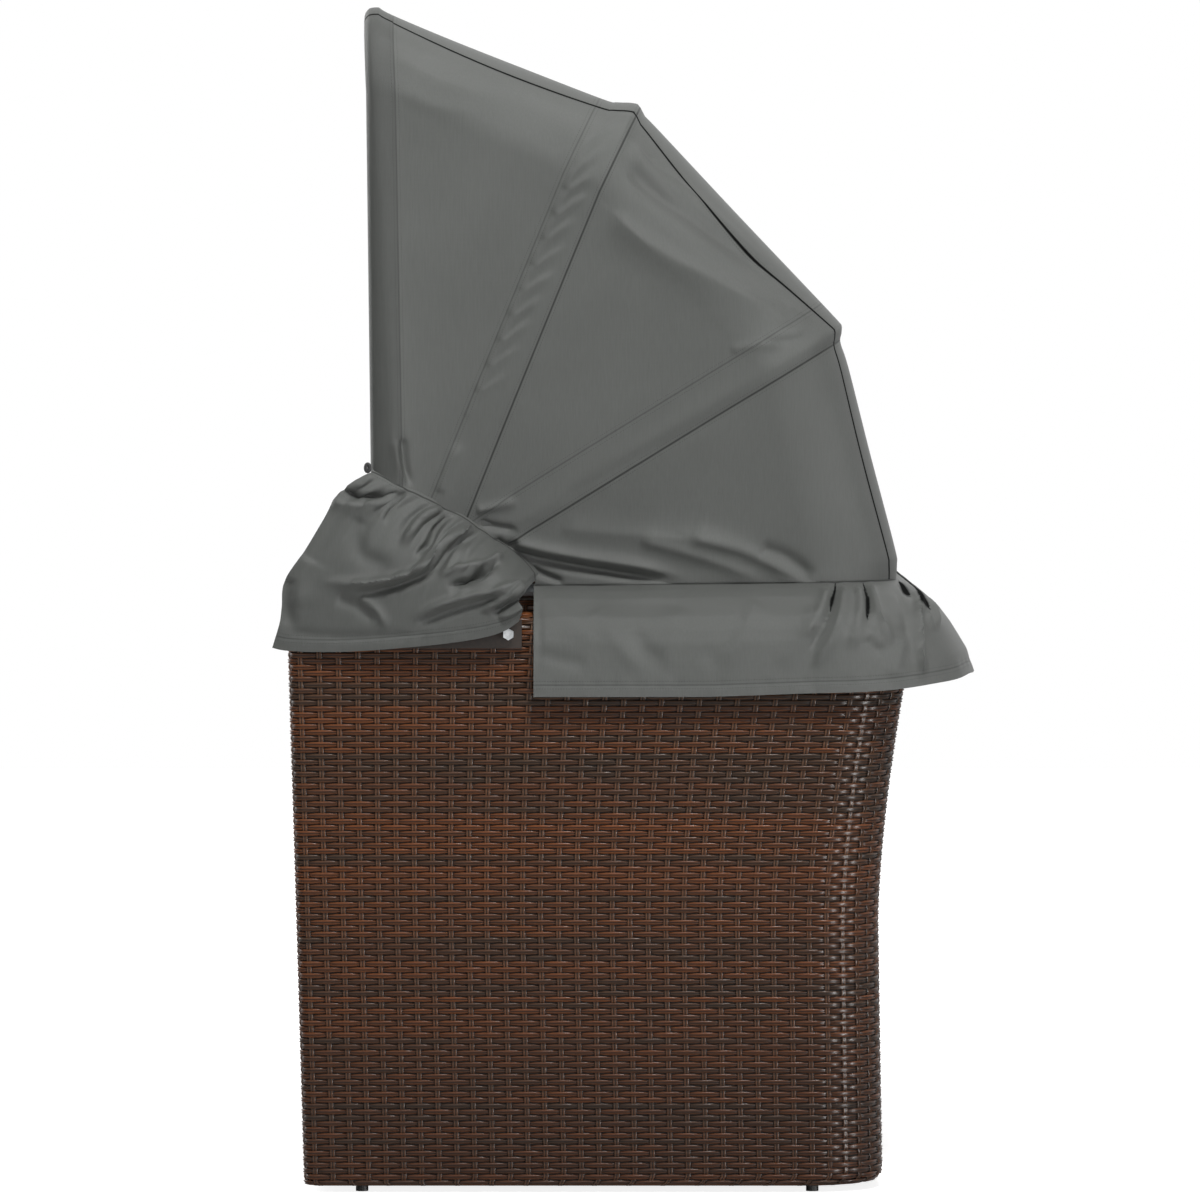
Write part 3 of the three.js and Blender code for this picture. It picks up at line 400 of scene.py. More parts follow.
materials = {
    "wicker": wickerMaterial(),
    # Painted shade: the nearly black sheet behind the weave.
    "inside": shadeBackingMaterial(),
    "deck": deckMaterial(),
    "canopy": clothMaterial("canopy_polyester", "#4d4f4c", "#575956", 0.55 * mm, 0.05, True),
    # Painted shade: the same cloth painted darker where the front hoop's sleeve lies double, as no light
    # comes through it.
    "sleeve": clothMaterial("canopy_polyester_doubled", "#3d3f3c", "#464845", 0.55 * mm, 0.05, True),
    "cushion": clothMaterial("cushion_polyester", "#61635e", "#777974", 0.8 * mm, 0.2),
    "trim": clothMaterial("cushion_piping", "#4c4e4a", "#5a5c58", 0.8 * mm, 0.1),
    "webbing": clothMaterial("black_webbing", "#101010", "#1c1c1c", 1.2 * mm, 0.1),
    "plastic": plasticMaterial("black_polypropylene", "#0e0e0e", "#191919", 0.5),
    "zinc": metalMaterial("zinc_plated_steel", "#a9acae", "#cfd1d2", 0.3, 1.0, 8.33 * mm),
    "tube": metalMaterial("anodised_aluminium_tube", "#7c7f81", "#909395", 0.38, 1.0, 16.7 * mm),
    # Baked powder coat hides its metal: a dull brown skin.
    "coat": metalMaterial("brown_powder_coat", "#21170f", "#2a1d14", 0.6, 0.0, 5 * mm),
}
print("materials made")


# Meshes from arrays

def newObject(name, mesh, finish=None):
    piece = bpy.data.objects.new(name, mesh)
    bpy.context.scene.collection.objects.link(piece)
    if finish:
        mesh.materials.append(materials[finish])
    return piece


def meshFrom(name, points, faces, smooth=True):
    mesh = bpy.data.meshes.new(name)
    mesh.from_pydata([tuple(p) for p in points], [], faces)
    if smooth:
        mesh.polygons.foreach_set("use_smooth", [True] * len(mesh.polygons))
    mesh.update()
    return mesh


def gridFaces(rows, columns, start=0, flip=False):
    faces = []
    for r in range(rows - 1):
        for c in range(columns - 1):
            a = start + r * columns + c
            quad = (a, a + 1, a + 1 + columns, a + columns)
            faces.append(quad[::-1] if flip else quad)
    return faces


def faceOutward(mesh):
    # Turns a closed mesh's faces outward and lets its edges stay crisp.
    shape = bmesh.new()
    shape.from_mesh(mesh)
    if shape.calc_volume(signed=True) < 0:
        bmesh.ops.reverse_faces(shape, faces=shape.faces[:])
        shape.to_mesh(mesh)
    shape.free()
    mesh.set_sharp_from_angle(angle=math.radians(60))


def gridNormals(grid):
    # Unit normals of a grid of points, rows by columns by 3.
    down = np.gradient(grid, axis=0)
    along = np.gradient(grid, axis=1)
    normal = np.cross(along, down)
    return normal / np.maximum(np.linalg.norm(normal, axis=2, keepdims=True), 1e-9)


def clothPiece(name, grid, finish, thickness):
    # A closed sheet of even thickness on a grid.
    rows, columns = grid.shape[:2]
    normal = gridNormals(grid)
    outer = grid + normal * thickness / 2
    inner = grid - normal * thickness / 2
    points = np.concatenate([outer.reshape(-1, 3), inner.reshape(-1, 3)])
    count = rows * columns
    faces = gridFaces(rows, columns) + gridFaces(rows, columns, count, True)
    rim = list(range(columns))
    rim += [r * columns + columns - 1 for r in range(1, rows)]
    rim += [(rows - 1) * columns + c for c in range(columns - 2, -1, -1)]
    rim += [r * columns for r in range(rows - 2, 0, -1)]
    for a, b in zip(rim, rim[1:] + rim[:1]):
        faces.append((a, b, b + count, a + count))
    mesh = meshFrom(name, points, faces)
    faceOutward(mesh)
    return newObject(name, mesh, finish)


def ringPiece(name, path, radius, finish, sides=8):
    # A round cord along a closed path.
    tangent = np.roll(path, -1, 0) - np.roll(path, 1, 0)
    tangent /= np.linalg.norm(tangent, axis=1, keepdims=True)
    side = path - path.mean(0)
    side -= tangent * (side * tangent).sum(1, keepdims=True)
    side /= np.linalg.norm(side, axis=1, keepdims=True)
    up = np.cross(tangent, side)
    angles = np.arange(sides) * 2 * math.pi / sides
    ring = np.cos(angles)[None, :, None] * side[:, None] + np.sin(angles)[None, :, None] * up[:, None]
    points = (path[:, None] + radius * ring).reshape(-1, 3)
    count = len(path)
    faces = []
    for r in range(count):
        below = (r + 1) % count
        for c in range(sides):
            after = (c + 1) % sides
            faces.append((r * sides + c, r * sides + after, below * sides + after, below * sides + c))
    mesh = meshFrom(name, points, faces)
    faceOutward(mesh)
    return newObject(name, mesh, finish)


def applied(piece):
    # Replaces a piece's mesh by what its modifiers make of it.
    graph = bpy.context.evaluated_depsgraph_get()
    mesh = bpy.data.meshes.new_from_object(piece.evaluated_get(graph))
    piece.modifiers.clear()
    piece.data = mesh
    return piece


def pointsOf(mesh):
    values = np.zeros(len(mesh.vertices) * 3)
    mesh.vertices.foreach_get("co", values)
    return values.reshape(-1, 3)


def smoothStep(t):
    t = np.clip(t, 0, 1)
    return t * t * (3 - 2 * t)


# Woven shell: flat strand patterns, laid onto the base

def wallProfile(t):
    # Height, inset and tilt of the outer wall at a distance t up from its foot and over its top.
    angle = np.clip((t - wallRise) / base["rounding"], 0, math.pi / 2)
    z = base["foot"] + np.clip(t, 0, wallRise) + base["rounding"] * np.sin(angle)
    inset = base["rounding"] * (1 - np.cos(angle)) + np.clip(t - wallRise - crownArc, 0, crownFlat)
    return z, inset, angle


def arc(centreX, centreY, radius, turn):
    return centreX + radius * np.cos(turn), centreY + radius * np.sin(turn), np.cos(turn), np.sin(turn)


def outerShell(strip):
    # Lays a strip pattern round the outside of the base, from one front edge to the other.
    s = np.clip(strip[:, 0], 0, 2 * halfPlan)
    mirror = np.where(s > halfPlan, -1.0, 1.0)
    s = np.where(s > halfPlan, 2 * halfPlan - s, s)
    z, inset, tilt = wallProfile(strip[:, 1])
    front = frontY(z) + inset
    rear = rearY(z) - inset
    inner = base["inner"] + inset
    outer = base["side"] - inset
    edge = np.maximum(base["edge"] - inset, base["leastEdge"])
    corner = base["corner"] - inset
    share = [np.clip((s - a) / (b - a), 0, 1) for a, b in zip(planStops[:-1], planStops[1:])]
    x, y, nx, ny = arc(inner + edge, front + edge, edge, math.pi + share[0] * math.pi / 2)
    x = x + share[1] * (outer - inner - 2 * edge)
    turned = arc(outer - edge, front + edge, edge, 1.5 * math.pi + share[2] * math.pi / 2)
    bent = arc(outer - corner, rear - corner, corner, share[4] * math.pi / 2)
    onSide = s > planStops[2]
    x, y, nx, ny = (np.where(onSide, b, a) for a, b in zip((x, y, nx, ny), turned))
    y = y + share[3] * (rear - front - corner - edge)
    onCorner = s > planStops[4]
    x, y, nx, ny = (np.where(onCorner, b, a) for a, b in zip((x, y, nx, ny), bent))
    x = x - share[5] * (outer - corner)
    out = strip[:, 2]
    x = x + nx * out * np.cos(tilt)
    y = y + ny * out * np.cos(tilt)
    return np.stack([x * mirror, y, z + out * np.sin(tilt)], 1)


def innerProfile(t):
    # Height, depth into the wall and tilt of the inner face, at a distance t from the crown's middle.
    angle = np.clip((t - crownFlat) / base["rounding"], 0, math.pi / 2)
    z = shoulder + base["rounding"] * np.cos(angle) - np.clip(t - crownFlat - crownArc, 0, None)
    depth = base["rounding"] * (1 - np.sin(angle)) + np.clip(crownFlat - t, 0, crownFlat)
    return z, depth, angle


def innerArm(side, length):
    def place(strip):
        z, depth, angle = innerProfile(strip[:, 1])
        share = np.clip(strip[:, 0] / length, 0, 1)
        rise = np.clip((z - shoulder) / base["rounding"], 0, 1)
        inset = base["rounding"] * (1 - np.sqrt(1 - rise ** 2))
        front = frontY(z) + inset + np.maximum(base["edge"] - inset, base["leastEdge"])
        rear = rearY(z) - base["arm"] + depth
        out = strip[:, 2]
        x = base["inner"] + depth - out * np.sin(angle)
        y = front + share * (rear - front)
        return np.stack([side * x, y, z + out * np.cos(angle)], 1)
    return place


def innerBack(length):
    def place(strip):
        z, depth, angle = innerProfile(strip[:, 1])
        share = np.clip(strip[:, 0] / length, 0, 1)
        half = base["inner"] + depth
        out = strip[:, 2]
        y = rearY(z) - base["arm"] + depth - out * np.sin(angle)
        return np.stack([(1 - 2 * share) * half, y, z + out * np.cos(angle)], 1)
    return place


apronLow = base["foot"]
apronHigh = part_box("front_apron")[1].z


def apronFace(length, half):
    def place(strip):
        z = apronLow + np.clip(strip[:, 1], 0, apronHigh - apronLow)
        share = np.clip(strip[:, 0] / length, 0, 1)
        return np.stack([(2 * share - 1) * half, frontY(z) - strip[:, 2], z], 1)
    return place


def strandMesh(name, steps, profile):
    # One strand on a small grid, from its sections.
    sections = [profile(2 * k / steps - 1) for k in range(steps + 1)]
    points = [point for section in sections for point in section]
    return meshFrom(name, points, gridFaces(steps + 1, len(sections[0])))


def floatProfile(share):
    # Weft strand: highest over the warp, thinner and lower where it dives, with a groove down its middle.
    half = weave["endWidth"] + (weave["floatWidth"] - weave["endWidth"]) * math.sqrt(1 - share ** 6 * 0.98)
    height = -weave["dive"] * abs(share) ** 2.4
    return [(share * weave["floatHalf"], across * half, height + up * weave["ridge"])
            for across, up in weave["floatSection"]]


def warpProfile(share):
    # Upright strand pair between two floats, dipping under the rows above and below.
    height = -weave["warpDepth"] - weave["warpDive"] * share ** 2
    reach = weave["warpReachShare"] * weave["pitch"]
    return [(across * weave["warpHalf"], share * reach, height + up * weave["ridge"])
            for across, up in weave["warpSection"]]


def weaveTree():
    # A flat weave: floats on every row, each row half a repeat beside the last, and uprights between them.
    tree = bpy.data.node_groups.new("strand_weave", "GeometryNodeTree")
    tree.interface.new_socket("Geometry", in_out="OUTPUT", socket_type="NodeSocketGeometry")
    for name, kind in (
        ("Columns", "Int"), ("Rows", "Int"), ("Width", "Float"), ("Height", "Float"), ("Middle", "Vector"),
        ("Half period", "Float"), ("Pitch", "Float"), ("Seed", "Int"), ("Float", "Object"),
        ("Warp", "Object"), ("Finish", "Material"),
    ):
        tree.interface.new_socket(name, in_out="INPUT", socket_type=f"NodeSocket{kind}")
    entry = tree.nodes.new("NodeGroupInput").outputs
    grid = addNode(tree, "GeometryNodeMeshGrid", {
        "Size X": entry["Width"], "Size Y": entry["Height"], "Vertices X": entry["Columns"],
        "Vertices Y": entry["Rows"]}).outputs["Mesh"]
    moved = addNode(tree, "GeometryNodeTransform", {
        "Geometry": grid, "Translation": entry["Middle"]}).outputs["Geometry"]
    place = addNode(tree, "ShaderNodeSeparateXYZ", {
        0: addNode(tree, "GeometryNodeInputPosition").outputs[0]}).outputs
    row = place["Y"]
    for operation, number in (("DIVIDE", entry["Pitch"]), ("ROUND", 0.0)):
        row = addNode(tree, "ShaderNodeMath", {0: row, 1: number}, operation=operation).outputs[0]
    odd = addNode(tree, "ShaderNodeMath", {0: row, 1: 2.0}, operation="MODULO").outputs[0]
    rowTone = addNode(tree, "FunctionNodeRandomValue", {"ID": row, "Seed": entry["Seed"]},
                      data_type="FLOAT").outputs[1]
    toned = addNode(tree, "GeometryNodeStoreNamedAttribute", {
        "Geometry": moved, "Name": "row", "Value": rowTone}, data_type="FLOAT", domain="POINT")
    stagger = addNode(tree, "ShaderNodeCombineXYZ", {
        "X": weighted(tree, (odd, entry["Half period"])), "Y": weighted(tree, (entry["Pitch"], 0.5))})
    wefts = addNode(tree, "GeometryNodeSetPosition", {
        "Geometry": toned.outputs["Geometry"], "Offset": stagger.outputs[0]}).outputs["Geometry"]
    beside = addNode(tree, "ShaderNodeCombineXYZ", {"X": entry["Half period"]}).outputs[0]
    warps = addNode(tree, "GeometryNodeSetPosition", {
        "Geometry": wefts, "Offset": beside}).outputs["Geometry"]
    joined = tree.nodes.new("GeometryNodeJoinGeometry")
    lowTilt = [-angle for angle in weave["tilt"]]
    for points, source in ((warps, "Warp"), (wefts, "Float")):
        model = addNode(tree, "GeometryNodeObjectInfo", {"Object": entry[source]}).outputs["Geometry"]
        tilt = addNode(tree, "FunctionNodeRandomValue", {
            0: lowTilt, 1: weave["tilt"], "Seed": entry["Seed"]}, data_type="FLOAT_VECTOR").outputs[0]
        tone = addNode(tree, "FunctionNodeRandomValue", {"Seed": entry["Seed"]}, data_type="FLOAT").outputs[1]
        strands = addNode(tree, "GeometryNodeInstanceOnPoints", {
            "Points": points, "Instance": model, "Rotation": tilt}).outputs["Instances"]
        for name, value in (("strand", tone), ("upright", float(source == "Warp"))):
            strands = addNode(tree, "GeometryNodeStoreNamedAttribute", {
                "Geometry": strands, "Name": name, "Value": value}, data_type="FLOAT",
                domain="INSTANCE").outputs["Geometry"]
        tree.links.new(strands, joined.inputs["Geometry"])
    solid = addNode(tree, "GeometryNodeRealizeInstances", {"Geometry": joined.outputs[0]}).outputs[0]
    dressed = addNode(tree, "GeometryNodeSetMaterial", {"Geometry": solid, "Material": entry["Finish"]})
    tree.links.new(dressed.outputs[0], tree.nodes.new("NodeGroupOutput").inputs[0])
    return tree


weaveNodes = weaveTree()
strandShapes = {
    "Float": bpy.data.objects.new("float", strandMesh("float", weave["floatSteps"], floatProfile)),
    "Warp": bpy.data.objects.new("warp", strandMesh("warp", weave["warpSteps"], warpProfile)),
}
hiddenStore = bpy.data.collections.new("strand_shapes")
for shape in strandShapes.values():
    hiddenStore.objects.link(shape)


def wovenPiece(name, columns, rows, firstColumn, lay):
    # A woven patch: the node tree makes it flat, then its points are laid onto the shell.
    holder = newObject(name, bpy.data.meshes.new(name))
    modifier = holder.modifiers.new("weave", "NODES")
    modifier.node_group = weaveNodes
    width = weave["period"] * (columns - 1)
    height = weave["pitch"] * (rows - 1)
    values = {
        "Columns": columns, "Rows": rows, "Width": width, "Height": height,
        "Middle": (width / 2 + weave["period"] * firstColumn, height / 2, 0.0),
        "Half period": weave["period"] / 2, "Pitch": weave["pitch"], "Seed": weave["seed"],
        "Finish": materials["wicker"], **strandShapes,
    }
    for item in weaveNodes.interface.items_tree:
        if item.in_out == "INPUT":
            modifier[item.identifier] = values[item.name]
    bpy.context.view_layer.update()
    mesh = applied(holder).data
    strip = pointsOf(mesh)
    mesh.attributes.new("flat", "FLOAT_VECTOR", "POINT").data.foreach_set("vector", strip.reshape(-1))
    mesh.vertices.foreach_set("co", lay(strip).reshape(-1))
    mesh.polygons.foreach_set("use_smooth", [True] * len(mesh.polygons))
    mesh.update()
    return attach(holder, "base")


def backingPiece(name, length, height, lay, step=12 * mm):
    # A nearly black sheet behind a woven patch: painted shade for the shadowed inside of the wall.
    columns = int(length / step) + 2
    rows = int(height / step) + 2
    u, v = np.meshgrid(np.linspace(0, length, columns), np.linspace(0, height, rows))
    strip = np.stack([u.ravel(), v.ravel(), np.full(u.size, -weave["backing"])], 1)
    piece = newObject(name, meshFrom(name, lay(strip), gridFaces(rows, columns)), "inside")
    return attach(piece, "base")


def undersidePiece(name, steps=90):
    # Closes the hollow walls at their foot with the same nearly black painted shade, following the plan of
    # both shade sheets.
    depth = np.full(steps, weave["backing"])
    rim = outerShell(np.stack([np.linspace(0, halfPlan, steps), depth, -depth], 1))
    z = float(rim[0, 2])
    rear = float(rearY(z)) - base["arm"]
    points = [*rim, (0, rear, z), (base["inner"], rear, z), (base["inner"], float(rim[0, 1]), z)]
    mirror = [(-x, y, z) for x, y, z in points]
    count = len(points)
    faces = [tuple(range(count)), tuple(range(count, 2 * count))[::-1]]
    piece = newObject(name, meshFrom(name, [*points, *mirror], faces, False), "inside")
    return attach(piece, "base")


def makeWicker():
    period = weave["period"]
    first = 0
    for part, columns in weave["outside"].items():
        wovenPiece(f"wicker_{part}", columns, int(wallReach / weave["pitch"]), first, outerShell)
        first += columns
    armColumns = int(planLengths[3] / period) + 1
    armLength = armColumns * period
    for side, sign in (("right", 1), ("left", -1)):
        lay = innerArm(sign, armLength)
        wovenPiece(f"wicker_{side}_arm_inside", armColumns, weave["armRows"], 0, lay)
        # Nearly black sheets behind the weave: painted shade.
        lining = backingPiece(f"wicker_{side}_arm_lining", armLength, wallReach, lay)
        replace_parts(lining, f"{side}_side_panel")
    backColumns = int(2 * base["inner"] / period) + 1
    backLength = backColumns * period
    lay = innerBack(backLength)
    wovenPiece("wicker_back_inside", backColumns, weave["backRows"], 0, lay)
    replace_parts(backingPiece("wicker_back_lining", backLength, wallReach, lay), "back_panel")
    height = apronHigh - apronLow
    front = apronFace(backLength, base["inner"] - weave["apronGap"])
    wovenPiece("wicker_apron", backColumns, int(height / weave["pitch"]), 0, front)
    behind = apronFace(backLength, base["inner"] + base["edge"])
    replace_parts(backingPiece("wicker_apron_lining", backLength, height, behind), "front_apron")
    backingPiece("wicker_shell_lining", 2 * halfPlan, wallReach, outerShell)
    undersidePiece("wicker_underside")


makeWicker()
print("wicker laid")


# Canopy cloth. A place on it is given by a column round the hoops and by the way from hoop to hoop.

cloth = 1.2 * mm
tubeRadius = 9.5 * mm
canopy = {
    "reach": 594 * mm,
    "bend": 90 * mm,
    "lift": 13.5 * mm,
    "seamLift": 8 * mm,
    "columns": {"leg": 150, "bend": 34, "bar": 36},
    "crown": (
        ((0, 0), (0.06, 5.5), (0.12, 7.5), (0.5, 4.6), (0.84, 3.2), (0.945, 0.6), (0.975, 4.5), (1, 7.6)),
        ((0, 7.6), (0.06, 8.2), (0.5, 6.8), (0.9, 7.0), (0.955, 6.4), (0.98, 9.5), (1, 10.5)),
        ((0, 10.5), (0.025, 8.6), (0.07, 3), (0.12, 0), (0.42, -2), (0.72, -3.4), (0.95, -2.6), (1, 0)),
    ),
    "sideSag": 3.2 * mm,
    "sagShares": {"besideTube": 0.6, "middle": 0.4},
    "tubeBump": 15 * mm,
    "pipingDegrees": 64.6,
    "pipingDipDegrees": (2, 12.4, 7.3),
    "liningGap": 1.6 * mm,
    "liningReach": 13 * mm,
    "hingeFrom": (0, 0.3, 0.72),
    "hingeTo": (0, -0.3, 1.4),
}
hoops = [
    {"name": "rear_hoop", "angle": 0.6, "gain": 0, "leg": 601 * mm, "body": "base"},
    {"name": "third_hoop", "angle": 31.3, "gain": 16 * mm, "leg": 622 * mm, "body": "third_bow"},
    {"name": "second_hoop", "angle": 64.5, "gain": 47 * mm, "leg": 643 * mm, "body": "second_bow"},
    {"name": "front_hoop", "angle": 92.5, "gain": 110 * mm, "leg": 664 * mm, "body": "front_bow"},
]
# Where the cloth ends round the pivot: degrees from level and rearward, and the distance from the pivot.
lowerSeam = (
    (0, 158), (6.5, 158), (22, 138), (30, 128), (42, 119), (52, 117), (64, 114), (78, 119), (87, 125),
    (95, 135), (104, 152))


def lowerSeamRadius(degrees):
    angles, radii = zip(*lowerSeam)
    return np.interp(degrees, angles, radii) * mm


def onHoop(x, along, degrees):
    turn = np.radians(degrees)
    return np.stack([x, pivot.y + along * np.cos(turn), pivot.z + along * np.sin(turn)], -1)


def roundHoop(index, lift, counts, legPlaces):
    # Distances sideways and from the pivot round a hoop, from its right leg to its left, and each one's turn.
    hoop = hoops[index]
    side = hoop["leg"] + lift
    reach = canopy["reach"] + hoop["gain"] - canopy["lift"] + lift
    radius = canopy["bend"] + lift
    leg = legPlaces(reach - radius)
    turn = np.linspace(0, math.pi / 2, counts["bend"])
    bar = np.linspace(side - radius, radius - side, counts["bar"] + 2)[1:-1]
    x = np.concatenate([np.full(len(leg), side), side - radius * (1 - np.cos(turn))])
    along = np.concatenate([leg, reach - radius * (1 - np.sin(turn))])
    angle = np.concatenate([np.zeros(len(leg)), turn])
    x = np.concatenate([x, bar, -x[::-1]])
    along = np.concatenate([along, np.full(len(bar), reach), along[::-1]])
    return x, along, np.concatenate([angle, np.full(len(bar), math.pi / 2), (math.pi - angle)[::-1]])


def hoopCurve(index, lift):
    # Points round a hoop at some lift outside the tube's middle.
    counts = canopy["columns"]
    start = lowerSeamRadius(hoops[index]["angle"])
    x, along, _ = roundHoop(
        index, lift, counts, lambda end: np.linspace(start, end, counts["leg"], endpoint=False))
    return onHoop(x, along, hoops[index]["angle"])


def columnShares():
    # For every column: its share up the leg, its degrees round the bend and its share of the top.
    counts = canopy["columns"]
    up = np.concatenate([np.linspace(0, 1, counts["leg"], endpoint=False), np.ones(counts["bend"])])
    turn = np.concatenate([np.zeros(counts["leg"]), np.linspace(0, 90, counts["bend"])])
    bar = np.ones(counts["bar"])
    up = np.concatenate([up, bar, up[::-1]])
    turn = np.concatenate([turn, bar * 90, turn[::-1]])
    return up, turn, smoothStep(turn / 90)


legShare, bendDegrees, topShare = columnShares()
columnCount = len(legShare)
covers = [hoopCurve(i, canopy["lift"]) for i in range(len(hoops))]
covers[0] = covers[0] + np.array([0, 0, canopy["seamLift"]])


def spanOf(gore):
    return np.linalg.norm(covers[gore + 1] - covers[gore], axis=1)


def towardPivot(points):
    # Unit directions from points to the bolts' axis.
    inward = (np.array(pivot) - points) * np.array([0, 1, 1])
    return inward / np.linalg.norm(inward, axis=1, keepdims=True)


def canopyPoint(gore, distance):
    # The cloth at a distance from the gore's lower hoop, one point for every column.
    low, high = covers[gore], covers[gore + 1]
    span = spanOf(gore)
    share = np.clip(distance / span, 0, 1)
    spot = low + (high - low) * share[:, None]
    first = spot[0] - np.array(pivot)
    seam = math.hypot(first[1], first[2])
    degrees = math.degrees(math.atan2(first[2], first[1]))
    radial = np.array([0, first[1], first[2]]) / seam
    spot = spot + radial * (lowerSeamRadius(degrees) - seam) * ((1 - legShare) ** 2)[:, None]
    nearest = np.minimum(distance, span - distance)
    slack = 1 - np.exp(-(nearest / canopy["tubeBump"]) ** 2)
    spot = spot - towardPivot(spot) * (topShare * crownRise(gore, share))[:, None]
    sag = slack * canopy["sagShares"]["besideTube"] + np.sin(math.pi * share) * canopy["sagShares"]["middle"]
    spot[:, 0] -= (1 - topShare) * np.sign(spot[:, 0]) * canopy["sideSag"] * sag
    return spot


def crownRise(gore, share):
    # How far the crown stands out from the straight line between its hoops.
    places, heights = curved(canopy["crown"][gore], 5).T
    return np.interp(share, places, heights) * mm


def pipingDistance(gore, share):
    # How far each column lies from the piping, in metres, counted round the bend.
    dip = canopy["pipingDipDegrees"][gore] * np.sin(math.pi * share)
    radius = canopy["bend"] + canopy["lift"]
    up = (canopy["reach"] - radius) * (1 - legShare)
    return np.radians(bendDegrees - (canopy["pipingDegrees"] - dip)) * radius - up


def curved(path, steps=7):
    # A smooth line through a few points, by Catmull-Rom.
    points = np.array([path[0], *path, path[-1]], float)
    line = []
    for a, b, c, d in zip(points[:-3], points[1:-2], points[2:-1], points[3:]):
        for t in np.arange(steps) / steps:
            line.append(0.5 * (2 * b + (c - a) * t + (2 * a - 5 * b + 4 * c - d) * t ** 2
                               + (3 * b - a - 3 * c + d) * t ** 3))
    line.append(points[-1])
    return np.array(line)


# The photograph: its width, the place of its centre, and where the daybed's middle and the floor are in it.
picture = {"width": 1200, "centre": (600, 600), "middle": 626.2, "floor": 1190}


def fromPicture(path):
    # Places in the photograph, seen from the right side, as Y and Z.
    path = np.asarray(path, float)
    return np.stack([path[:, 0] - picture["middle"], picture["floor"] - path[:, 1]], 1) * pictureScale


foldShape = {
    "startShare": 0.12,
    "startHeight": 0.25,
    "endShare": 0.3,
    "ridgeSharpness": 1.45,
    "hollowSharpness": 2.0,
}
farAway = 9.0


def foldRelief(points, folds):
    # Height of all folds at each point. A fold is (path, height, width above it, width below it), in mm.
    places = points[..., 1:3].reshape(-1, 2)
    total = np.zeros(len(places))
    for path, height, above, below in folds.values():
        line = fromPicture(curved(path))
        best = np.full(len(places), farAway)
        side = np.zeros(len(places))
        travel = np.zeros(len(places))
        lengths = np.linalg.norm(np.diff(line, axis=0), axis=1)
        stops = np.concatenate([[0], np.cumsum(lengths)])
        for k, (a, b) in enumerate(zip(line[:-1], line[1:])):
            step = (b - a) / max(lengths[k], 1e-9)
            rel = places - a
            t = np.clip(rel @ step, 0, lengths[k])
            off = rel - t[:, None] * step
            gap = np.linalg.norm(off, axis=1)
            nearer = gap < best
            best = np.where(nearer, gap, best)
            side = np.where(nearer, step[0] * off[:, 1] - step[1] * off[:, 0], side)
            travel = np.where(nearer, stops[k] + t, travel)
        if line[-1][0] < line[0][0]:
            side = -side
        width = np.where(side > 0, above, below) * mm
        share = travel / stops[-1]
        start = smoothStep(share / foldShape["startShare"] + foldShape["startHeight"])
        taper = start * smoothStep((1 - share) / foldShape["endShare"])
        sharpness = foldShape["ridgeSharpness" if height > 0 else "hollowSharpness"]
        total += height * mm * np.exp(-(best / width) ** sharpness) * taper
    return total.reshape(points.shape[:-1])


def withFolds(grid, folds, least=0.45, fade=0.4, gain=1.8):
    # Pushes the folds out of the cloth on both sides of the daybed, where it faces sideways enough.
    normal = gridNormals(grid)
    facing = np.sign(normal[..., 0]) * np.sign(grid[..., 0])
    normal = normal * np.where(facing < 0, -1, 1)[..., None]
    sideways = smoothStep((np.abs(normal[..., 0]) - least) / fade)
    return grid + normal * (gain * foldRelief(grid, folds) * sideways)[..., None]


# Each fold: its path in the picture, its height (less than 0 for a hollow) and its widths above and below
# it, in mm.
canopyFolds = {
    "frontCorner": (((404, 438), (406, 462), (411, 488)), -2.6, 5, 5),
    "frontCornerLight": (((396, 440), (400, 466), (409, 487)), 1.6, 5, 5),
    "frontTop": (((398, 60), (440, 84), (500, 100)), 1.2, 9, 9),
    "frontTopLow": (((400, 92), (440, 108), (490, 112)), 0.8, 9, 9),
    "puckerLow": (((440, 492), (448, 468), (462, 440)), 1.8, 6, 6),
    "middleUpper": (((628, 144), (658, 172), (692, 195), (734, 228), (784, 266)), 3.0, 7, 8),
    "middleUpperHollow": (((628, 166), (654, 192), (686, 214), (738, 252), (792, 286)), -3.4, 8, 11),
    "middleLower": (((612, 212), (640, 238), (672, 258), (708, 276), (754, 299), (798, 322)), 3.6, 9, 20),
    "middleRim": (((640, 146), (688, 204), (740, 250), (800, 302)), -1.6, 5, 6),
    "middleOuterCorner": (((788, 304), (798, 312), (812, 322)), 1.4, 4, 4),
    "middleStart": (((476, 510), (492, 507), (520, 500)), 2.0, 6, 5),
    "thirdOuter1": (((768, 338), (786, 334), (806, 334)), 1.6, 4, 4),
    "thirdOuter2": (((730, 350), (760, 345), (790, 347)), 1.1, 6, 5),
    "thirdInner": (((480, 522), (496, 526), (520, 530)), -2.4, 4, 5),
    "thirdGather": (((497, 538), (506, 545), (520, 540)), -2.6, 3, 3),
    "rearRidge": (((508, 540), (540, 549), (580, 557), (630, 565), (690, 578)), 3.6, 9, 6),
    "rearHollow": (((508, 550), (540, 559), (584, 567), (640, 576), (680, 582)), -4.4, 6, 7),
    "rearHollowShort": (((530, 567), (545, 575), (566, 583)), -2.6, 4, 5),
    "rearSweep1": (((640, 540), (690, 554), (736, 570), (770, 584)), 2.4, 12, 9),
    "rearSweep2": (((690, 536), (744, 552), (790, 574), (806, 585)), 3.0, 13, 8),
    "rearSweep3": (((760, 548), (790, 560), (818, 584)), -2.6, 9, 9),
    "rearLong": (((560, 528), (620, 534), (690, 540), (760, 552)), 1.6, 14, 14),
    "thirdEdge": (((560, 500), (620, 466), (700, 424), (780, 376)), -1.0, 9, 9),
}


